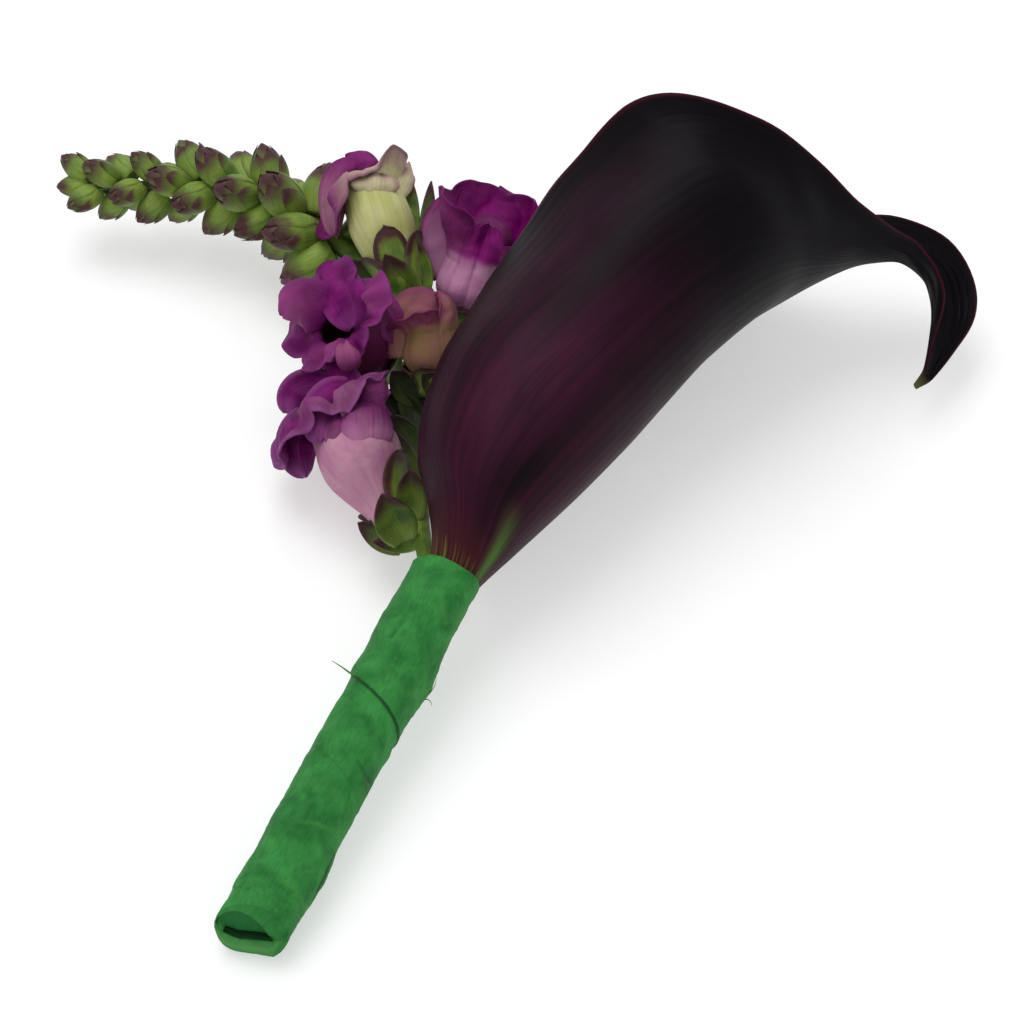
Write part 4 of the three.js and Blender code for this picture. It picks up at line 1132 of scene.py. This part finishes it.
def lobe_grid(root, middle, tip, width, bend, seed):
    t, w = net(33, 29)
    a, b, c = (np.array(p, float) for p in (root, middle, tip))
    line = (a * (1 - t) ** 2 + 2 * b * t * (1 - t) + c * t**2)[:, None]
    way = unit(mix(b - a, c - b, t))[:, None]
    side = unit(np.cross(way, TO_VIEWER))
    face = np.cross(side, way)
    half = width / 2 * np.clip(1 - np.abs(2 * mix(0.12, 0.994, t) - 1) ** 2.4, 0.0001, 1) ** 0.5
    drop = -bend * (w**2 + 0.6 * t**4) + 0.35 * np.sin(5 * w + 3 * t + seed) * t
    grid = line + side * (half * w)[..., None] + face * drop[..., None]
    dents = 0.45 * crumple(grid, 3.4, seed) + 0.12 * crumple(grid, 1.4, seed)
    return grid + face * dents[..., None], t, w


folded = {}
for seed, (k, root, middle, tip, width, bend, (at_root, at_tip), lip) in enumerate(LOBES):
    grid, t, w = lobe_grid(root, middle, tip, width, bend, seed)
    rim = smooth(0.7, 1, np.maximum(np.abs(w), t))
    pale = mix(at_root, at_tip, t**1.5) * (1 - 0.4 * rim * (1 - at_tip))
    grain = field(3 * w, seed, 0.12 * width * t)
    folded.setdefault(k, Shape()).add_sheet(grid, mix(*LOBE_WALL, t), floor_level=0.0, lip=lip, foot=0.0,
                                            edge=rim * (1 - 0.8 * at_tip), pale=pale, grain=grain)
for k, lobes in folded.items():
    new_piece(f"folded_lobes_{k + 1}", lobes, petals[k], BLOOMS[k]["slot"], f"snapdragon_bloom_{k + 1}")

# %% [markdown]
# ## The snapdragon's green parts
# The stem leaves the tape under the calla, climbs past the blooms and bends over to its tip. Each bloom
# sits on a short stalk in a cup of pointed sepals, with a narrow leaf, the bract, at the foot of the stalk.


# %% Plan of the spike
def handle_point(t, b, s):
    return mix(HANDLE_END, HANDLE_TOP, t) + CALLA_BACK * b + CALLA_RAISED * s


SPIKE = Path([
    handle_point(0.08, 0, -3.7), handle_point(0.6, 0, -3.7), calla_point(-6, -3.2, -5.7),
    calla_point(0, -3.2, -5.9), (-15.2, 4, 10), (-13.9, 18, 9), (-14.2, 31.8, 9.8), (-15.4, 42, 11),
    (-19.5, 50, 12.5), (-25.8, 56, 13), (-32.3, 61.8, 14), (-39.4, 67.4, 14.5), (-47.3, 70.5, 15),
    (-55.1, 72.2, 14.5), (-63.4, 73.2, 14), (-77, 73.4, 13.5),
])
STALK = {"seat": 0.75, "knee": 2.6, "foot": 7, "thin": 1.1, "thick": 1.8}
print("the snapdragon's stem is", round(SPIKE.length), "mm long")


# %% [markdown]
# Stems are rings swept along paths, a little ribbed, as the real one is. The stalk of a bloom starts at the
# stem's point nearest to a spot some way below the bloom, so it always leans forward.

# %% Stems and stalks
def add_rod(shape, path, radius, rings, sides, **masks):
    """A round stem with closed ends."""
    t = np.linspace(0, 1, rings + 1)[:, None]
    angle = 2 * np.pi * np.arange(sides) / sides
    rod, _ = tube(path, t[:, 0], radius(t, angle), sides)
    grain = field(np.cos(angle), np.sin(angle), 0.1 * path.length * t)
    shape.add(rod, closed_rings(rings + 1, sides), grain=grain, **masks)


def stem_radius(t, angle):
    thick = mix(1.15, 1.7, smooth(0.3, 0.42, t)) * mix(1, 0.4, smooth(0.7, 1, t))
    return thick * (1 + 0.05 * np.cos(5 * angle))


def stalk_path(bloom):
    base, axes, _ = bloom_frame(bloom)
    seat = base - axes[2] * STALK["seat"]
    stations = SPIKE.at(0.3 + np.arange(71) / 100)
    foot = stations[np.linalg.norm(stations - (base - axes[2] * STALK["foot"]), axis=1).argmin()]
    return Path([foot, seat - axes[2] * STALK["knee"], seat]), foot, seat


greens = Shape()
add_rod(greens, SPIKE, stem_radius, 200, 20, tip=0.0, pale=0.1)
for bloom in BLOOMS:
    stalk_radius = lambda t, angle: mix(STALK["thin"], STALK["thick"], t)
    add_rod(greens, stalk_path(bloom)[0], stalk_radius, 16, 16, tip=0.0, pale=0.1)
print("stems so far:", greens.count, "points")

# %% [markdown]
# Sepals and bracts are small leaves with one shape: broad below, pointed above, hollowed along the middle
# and browned by the sun at the tip. `leaf_outline` gives that shape. A bract is folded a little along its
# midrib, and a sepal follows the round of the tube that it hugs.

# %% Sepals and bracts
BRACT = {"length": 8, "width": 3.8, "wall": (0.55, 0.3)}
SEPAL = {"foot": -1.7, "half_angle": 52, "wall": (0.5, 0.3), "layer": 0.24, "gap": 0.47}


def leaf_outline(t, blunt=0.75):
    return np.clip(np.sin(np.pi * np.clip(0.16 + 0.84 * t, 0, 1)), 0, 1) ** blunt


def add_bract(shape, base, direction, up, length, width, dark=0.0):
    """A pointed leaf that starts at its base, bends up and is folded a little along its midrib."""
    t, w = net(17, 11)
    direction, up = unit(direction), unit(up)
    side = unit(np.cross(direction, up))
    half = np.maximum(0.12, width / 2 * leaf_outline(t))
    rise = 0.14 * length * t**2 + 0.35 * np.abs(w) ** 1.5 * half + 0.12 * np.sin(5 * t + 2) * w
    grid = base + field(length * t, half * w, rise) @ np.array([direction, side, np.cross(side, direction)])
    shape.add_sheet(grid, mix(*BRACT["wall"], t), grain=field(w * 2, 0.3 * length * t, 0.0), dark=dark,
                    tip=smooth(0.45, 1, t + 0.12 * np.abs(w)), pale=0.5 * (1 - smooth(0, 0.5, t)))


def add_calyx(shape, bloom, phase):
    """Sepals that close round the stalk and hug the foot of a bloom's tube. One of length 0 is left out."""
    tube_length = bloom_frame(bloom)[-1]
    t, w = net(25, 15)
    for k, own in enumerate(bloom["sepals"]):
        if own == 0:
            continue
        middle = 2 * np.pi * (k + 0.5) / 5 + 0.12 * math.sin(5 * k + phase)
        half = math.radians(SEPAL["half_angle"]) * leaf_outline(t * 0.96 + 0.04, 0.5) * (1 - 0.12 * t)
        angle = middle + w * half
        z = mix(SEPAL["foot"], own, t) - 0.5 * w**2 * t
        r = tube_radius(bloom, np.clip(z / tube_length, 0, 1), angle) + BLOOM["wall"] / 2
        r = r + SEPAL["gap"] + SEPAL["layer"] * (k % 2)
        r = r + 0.4 * t**3 + 0.2 * w**2 * t + 0.18 * np.sin(9 * t + k) * w * t
        r = r * mix(0.46, 1, 1 - (1 - np.clip(t / 0.26, 0, 1)) ** 2)
        brown = np.maximum(smooth(0.55, 1, t), 0.9 * smooth(0.62, 1, np.abs(w) + 0.3 * t))
        shape.add_sheet(round_bloom(bloom, r, angle, z), mix(*SEPAL["wall"], t), mirrored=True,
                        grain=field(w * 2, 2 * t, k), tip=brown, pale=0.35 * (1 - t))


for phase, bloom in enumerate(BLOOMS):
    add_calyx(greens, bloom, phase)
    _, foot, seat = stalk_path(bloom)
    under = unit(unit(seat - foot) + 0.9 * np.array(bloom["bract"]))
    add_bract(greens, foot, under, bloom["bract"], BRACT["length"], BRACT["width"])
# The last number of each leaf is painted shade, for leaves deep in the gaps between the blooms and the calla.
LEAVES = [  # foot, tip, width, darkness
    ((-14.9, 50.8, 19), (-14, 66.5, 20), 2.6, 0.2),
    ((-17.4, 56.7, 18), (-18.1, 68.8, 21), 3.4, 0.1),
    ((-16.4, 42.1, 17), (-21.5, 48.1, 24), 6, 0.1),
    ((-14.9, 46.2, 17), (-17, 53.5, 22), 4.2, 0.1),
    ((-15.7, 25.7, 12), (-20.1, 29.7, 15), 5, 0.8),
    ((-15.2, 15.7, 11), (-19.6, 21, 14), 4.4, 0.8),
    ((-12, 25.4, 15), (-15.2, 25.5, 20), 3.6, 0.5),
    ((-19.9, 46.6, 14), (-27.6, 52.6, 17), 5, 0.5),
    ((-17.5, -4.2, 13), (-21.2, -1, 22), 6.5, 0.2),
    ((-16.3, 0.7, 12), (-16.6, 6.7, 18), 5, 0.3),
    ((-15.7, 21.7, 9), (-21.4, 27.9, 12), 7, 0.9),
    ((-15.4, 21.3, 10), (-17.1, 32.7, 14), 6, 0.9),
    ((-15.8, 8.1, 10), (-18.9, 17.5, 13), 4.6, 0.6),
    ((-17.9, -2.8, 9), (-24.9, 1.4, 10), 4.4, 0.5),
    ((-12.2, 37.1, 12), (-14.9, 45.7, 17), 5.5, 0.4),
    ((-10.2, 37.5, 11), (-11.2, 46.6, 14), 4.5, 0.5),
]
for foot, tip, width, dark in LEAVES:
    way = np.subtract(tip, foot)
    add_bract(greens, np.array(foot), way, TO_VIEWER, np.linalg.norm(way), width, dark)
print("greens:", greens.count, "points")

# %% [markdown]
# ## Buds by Geometry Nodes
# The free end of the spike carries more than thirty buds that spiral round it and shrink towards the tip.
# Each turn is 137.5 degrees, the angle that leaves no bud under another. They could be set by hand, but a
# rule spaces them better: one bud is modelled, and Geometry Nodes place its copies on points that carry a
# turn and a size. The tree ends in Realize Instances and Set Material, so the result is one plain mesh.

# %% A tree that places copies
TREE_INPUTS = (("Points", "Geometry"), ("Copy", "Object"), ("Size", "Float"), ("Finish", "Material"))
TREE_NODES = {
    "in": "NodeGroupInput", "out": "NodeGroupOutput", "original": "GeometryNodeObjectInfo",
    "turn": "GeometryNodeInputNamedAttribute", "size": "GeometryNodeInputNamedAttribute",
    "rotation": "FunctionNodeEulerToRotation", "scaled": "ShaderNodeMath",
    "place": "GeometryNodeInstanceOnPoints", "realize": "GeometryNodeRealizeInstances",
    "finish": "GeometryNodeSetMaterial",
}
TREE_LINKS = [  # from node and socket, to node and socket
    ("in", "Points", "place", "Points"), ("in", "Copy", "original", "Object"),
    ("original", "Geometry", "place", "Instance"), ("turn", "Attribute", "rotation", "Euler"),
    ("rotation", "Rotation", "place", "Rotation"), ("size", "Attribute", "scaled", 0),
    ("in", "Size", "scaled", 1), ("scaled", 0, "place", "Scale"),
    ("place", "Instances", "realize", "Geometry"), ("realize", "Geometry", "finish", "Geometry"),
    ("in", "Finish", "finish", "Material"), ("finish", "Geometry", "out", "Result"),
]


def copies_tree():
    tree = bpy.data.node_groups.new("copies_on_points", "GeometryNodeTree")
    sockets = {}
    for name, kind in TREE_INPUTS:
        made = tree.interface.new_socket(name, in_out="INPUT", socket_type="NodeSocket" + kind)
        sockets[name] = made.identifier
    tree.interface.new_socket("Result", in_out="OUTPUT", socket_type="NodeSocketGeometry")
    nodes = {name: tree.nodes.new(kind) for name, kind in TREE_NODES.items()}
    nodes["scaled"].operation = "MULTIPLY"
    for name, kind in (("turn", "FLOAT_VECTOR"), ("size", "FLOAT")):
        nodes[name].data_type = kind
        nodes[name].inputs["Name"].default_value = name
    for source, leaving, target, entering in TREE_LINKS:
        tree.links.new(nodes[source].outputs[leaving], nodes[target].inputs[entering])
    return tree, sockets


COPIES, COPY_SOCKETS = copies_tree()


def place_copies(name, original, spots, frames, sizes, finish, **masks):
    """A plain mesh with one copy of the original at each spot, turned by its frame and scaled by its size."""
    points = bpy.data.meshes.new(name)
    points.from_pydata(metres(spots), [], [])
    turns = np.array([Matrix(f).transposed().to_euler() for f in frames])
    points.attributes.new("turn", "FLOAT_VECTOR", "POINT").data.foreach_set("vector", turns.ravel())
    for key, value in {"size": sizes, **masks}.items():
        points.attributes.new(key, "FLOAT", "POINT").data.foreach_set("value", np.array(value, float))
    carrier = bpy.data.objects.new(name, points)
    template = bpy.data.objects.new(name + "_one", original)
    for made in (carrier, template):
        scene.collection.objects.link(made)
    modifier = carrier.modifiers.new("copies", "NODES")
    modifier.node_group = COPIES
    for socket, value in (("Copy", template), ("Size", 1.0), ("Finish", finish)):
        modifier[COPY_SOCKETS[socket]] = value
    depsgraph = bpy.context.evaluated_depsgraph_get()
    plain = bpy.data.meshes.new_from_object(carrier.evaluated_get(depsgraph))
    carrier.modifiers.clear()
    for made in (carrier, template):
        bpy.data.objects.remove(made)
    plain.name = name
    return plain


print("the tree has", len(COPIES.nodes), "nodes")

# %% [markdown]
# One bud is an egg with a pointed tip, wrapped in five sepals, with its own bract behind it. It is modelled
# one unit long and standing up, so that the size of each copy is its length in metres.

# %% One bud
BUD = {"rings": 13, "sides": 18, "sepal_wall": 0.012, "bract_wall": 0.03}


def egg(t):
    """The bud's radius at each height."""
    return np.maximum(0.02, 0.33 * np.sin(np.pi * (0.2 + 0.8 * np.clip(t, 0, 1))) ** 0.7)


def bud_shape():
    bud = Shape()
    t = np.linspace(0, 1, BUD["rings"])[:, None]
    angle = 2 * np.pi * np.arange(BUD["sides"])[None, :] / BUD["sides"]
    r = egg(t) * (1 + 0.06 * np.cos(2 * angle))
    faces = closed_rings(BUD["rings"], BUD["sides"], True)
    bud.add(field(r * np.sin(angle), r * np.cos(angle), 0.98 * t), faces,
            grain=field(2 * np.sin(angle), 2 * np.cos(angle), t), tip=smooth(0.5, 1, t),
            petal=smooth(0.35, 0.8, t), pale=0.3)
    t, w = net(10, 7)
    for k in range(5):
        angle = 4 * np.pi * k / 5 + w * math.radians(62) * leaf_outline(t, 0.5) * (1 - 0.1 * t)
        z = (0.96 - 0.06 * (k % 3)) * t - 0.03 * np.abs(w) * t
        r = egg(z * 0.99) + 0.006 + 0.003 * k
        brown = np.maximum(0.95 * smooth(0.3, 1.0, t), 0.45 * smooth(0.8, 1.1, np.abs(w) + 0.2 * t))
        bud.add_sheet(field(r * np.sin(angle), r * np.cos(angle), z), BUD["sepal_wall"], mirrored=True,
                      grain=field(w * 1.5, 2 * t, k), tip=brown, petal=0.0, pale=0.9 * (1 - t))
    reach = 0.2 * leaf_outline(t, 0.7)
    bend = egg(t * 0.7) + 0.05 + 0.03 * t**2
    bud.add_sheet(field(reach * w, 0.5 * reach * w**2 - bend, 0.74 * t - 0.04), BUD["bract_wall"],
                  grain=field(w * 1.5, 2 * t, 7), tip=smooth(0.4, 1, t + 0.1 * np.abs(w)), petal=0.0,
                  pale=0.2)
    return bud


one_bud = bud_shape().mesh("bud", place=np.asarray)
print("one bud has", len(one_bud.polygons), "faces")

# %% [markdown]
# The colour of the green parts runs from fresh yellow-green to a purple-brown at every tip, where the light
# has browned it. Buds low on the spike are riper, and a magenta petal shows between their sepals. Leaves
# deep in the gaps between the blooms and the calla get painted shade.


# %% Finish of the green parts
def green_finish(name):
    finish = Finish(name, 0.5, Subsurface_Weight=0.08, Subsurface_Scale=0.001, Sheen_Weight=0.1,
                    Sheen_Roughness=0.4, Specular_IOR_Level=0.25)
    mask, ramp = finish.mask, finish.ramp
    streaks = finish.noise(finish.grain(5, 1.2, 1.2), 1.0, 3.0, 0.4)
    clouds = finish.noise(finish.place(), 0.3, 2.0)
    uneven = finish.plus(mask("tip"), ramp(clouds, 0.3, 0.7, -0.25, 0.25))
    green = finish.mix(ramp(clouds, 0.35, 0.65), (62, 92, 26), (112, 132, 42))
    coats = [
        (mask("pale"), (146, 172, 76)),
        (ramp(streaks, 0.5, 0.8, 0.0, 0.4), (44, 72, 24)),
        (ramp(uneven, 0.3, 0.85, 0.0, 0.96), (68, 26, 38)),
        # Painted shade on leaves deep in the gaps between the blooms and the calla.
        (mask("dark"), (20, 26, 12)),
        (finish.times(mask("petal"), mask("ripe")), (136, 40, 118)),
    ]
    return finish.done(green, coats, height=finish.plus(streaks, clouds), depth=0.15)


leafy = green_finish("leafy_green")
new_piece("snapdragon_greens", greens, leafy, "spike_green", "snapdragon_spike")

# %% [markdown]
# Each bud stands just off the stem and leans forward, more so towards the tip. A small seeded generator
# varies its turn and its size, so every run gives the same spike. A bud that would cut into a bloom is left
# out.

# %% The spiral of buds
GOLDEN_TURN = 137.5
BUDS = {"count": 38, "first": 0.66, "last": 0.984, "root": 1.6, "longest": 11.4, "shortest": 5.8}
BUDS_VARY = {"turn": 20, "length": (0.92, 1.08)}  # degrees in all, and shares
BUDS_LEAN = (0.3, 1.2)  # how far the first and the last bud lean forward
CLEARANCE = 1.6  # a bud whose line comes this close to a bloom is left out


def dice(state):
    """A small seeded generator."""
    while True:
        state = (state * 1664525 + 1013904223) % 4294967296
        yield state / 4294967296


def turned_about(v, axis, angle):
    c, s = math.cos(angle), math.sin(angle)
    return v * c + np.cross(axis, v) * s + axis * (axis @ v) * (1 - c)


def spiral_of_buds():
    """For each bud its foot, its frame, its length in metres and how ripe it is."""
    random = dice(7)
    buds = []
    petals_near = np.vstack(bloom_points)
    for k in range(BUDS["count"]):
        share = k / (BUDS["count"] - 1)
        t = mix(BUDS["first"], BUDS["last"], share**0.9)
        forward = SPIKE.forward(t)
        turn = math.radians(k * GOLDEN_TURN + BUDS_VARY["turn"] * (next(random) - 0.5))
        upright = unit(np.array([0, 0, 1]) - forward * forward[2])
        turned = turned_about(upright, forward, turn)
        direction = unit(turned + forward * mix(*BUDS_LEAN, share**1.5))
        length = mix(BUDS["longest"], BUDS["shortest"], share) * mix(*BUDS_VARY["length"], next(random))
        spot = SPIKE.at(t) + turned * BUDS["root"]
        line = spot + direction * length * np.linspace(0.1, 1, 7)[:, None]
        if np.linalg.norm(line[:, None] - petals_near[None], axis=-1).min() < CLEARANCE:
            continue
        y = unit(forward - (forward @ direction) * direction)
        ripe = float(1 - smooth(0, 0.3, share))
        buds.append((spot, [np.cross(y, direction), y, direction], length * MM, ripe))
    forward = SPIKE.forward(1.0)
    y = unit(np.array([0, 0, 1]) - forward * forward[2])
    buds.append((SPIKE.at(BUDS["last"]), [np.cross(y, forward), y, forward], BUDS["shortest"] * MM, 0.0))
    return zip(*buds)


spots, frames, sizes, ripe = spiral_of_buds()
buds = place_copies("snapdragon_buds", one_bud, np.array(spots), frames, sizes, leafy, ripe=ripe)
new_piece("snapdragon_buds", buds, leafy, "spike_green", "snapdragon_spike")
print(len(spots), "buds on the spike")

# %% [markdown]
# ## The spadix
# Deep in the calla stands the spadix, a finger covered with hundreds of tiny flowers. They sit in the same
# golden-angle spiral as the buds, so the same tree places them, on a smooth core. Bump alone would look
# flat at the edge, so each flower is a small dome.

# %% Spadix and its tiny flowers
SPADIX = {"radius": 2.75, "rings": 60, "sides": 32}
FLORETS = {"count": 460, "size": 0.62, "sunk": 0.12, "first": 0.06, "span": 0.925}  # the last two are shares
FLORET_RINGS = [(0.5, 0.0), (0.5, 0.28), (0.3, 0.5), (0.12, 0.4)]  # radius and height of each
FLORET_SIDES = 6

spadix_path = Path([calla_point(h, b, 0) for h, b in ((-2, -0.9), (14, -2), (32, -4), (54, -2.5))])


def spadix_radius(t, angle=0.0):
    thick = np.sqrt(np.clip(1.02 - t**6, 0, 2)) * mix(0.75, 1, smooth(0.05, 0.25, t))
    return SPADIX["radius"] * thick + 0 * angle


def spadix_finish():
    finish = Finish("spadix_grain", 0.7, Sheen_Weight=0.2)
    clouds = finish.noise(finish.place(), 0.5, 3.0)
    skin = finish.mix(finish.ramp(clouds, 0.35, 0.7), (88, 60, 44), (150, 112, 62))
    return finish.done(skin, height=clouds, depth=0.2)


spadix_skin = spadix_finish()
core = Shape()
add_rod(core, spadix_path, spadix_radius, SPADIX["rings"], SPADIX["sides"])
new_piece("spadix_core", core, spadix_skin, "spadix", "calla_spadix")

floret = Shape()
angle = 2 * np.pi * np.arange(FLORET_SIDES) / FLORET_SIDES
rings = [field(r * np.sin(angle), r * np.cos(angle), z) for r, z in FLORET_RINGS]
floret.add(rings, closed_rings(len(rings), FLORET_SIDES, True), grain=0.0)

spots, frames = [], []
for k in range(FLORETS["count"]):
    t = FLORETS["first"] + FLORETS["span"] * (k + 0.5) / FLORETS["count"]
    forward, x, _ = (v[0] for v in ring_frame(spadix_path, np.array([t]), (0, 0, 1)))
    out = turned_about(x, forward, math.radians(k * GOLDEN_TURN))
    spots.append(spadix_path.at(t) + out * (spadix_radius(t) - FLORETS["sunk"]))
    frames.append([np.cross(forward, out), forward, out])
sizes = [FLORETS["size"] * MM] * FLORETS["count"]
one_floret = floret.mesh("floret", place=np.asarray)
tiny = place_copies("spadix_florets", one_floret, np.array(spots), frames, sizes, spadix_skin)
new_piece("spadix_florets", tiny, spadix_skin, "spadix", "calla_spadix")

# %% [markdown]
# ## The calla's stem
# It is hidden in the tape, and its place in the frame is right, so the frame's own mesh stays and only gets
# a smooth green finish.

# %% Calla stem
stem_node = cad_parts["calla_stem"]
stem_node.data.materials.clear()
stem_node.data.materials.append(leafy)
print("calla_stem keeps its mesh, with the finish", leafy.name)

# %% [markdown]
# ## Sizes
# The box of the frame and the box of the finished model are printed side by side. The finished model
# has to stay in the box of the frame.

# %% Sizes and finish
visual_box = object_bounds()
for name, box in (("frame", cad_box), ("finished", visual_box)):
    print(name, [[round(x / MM, 2) for x in corner] for corner in box])
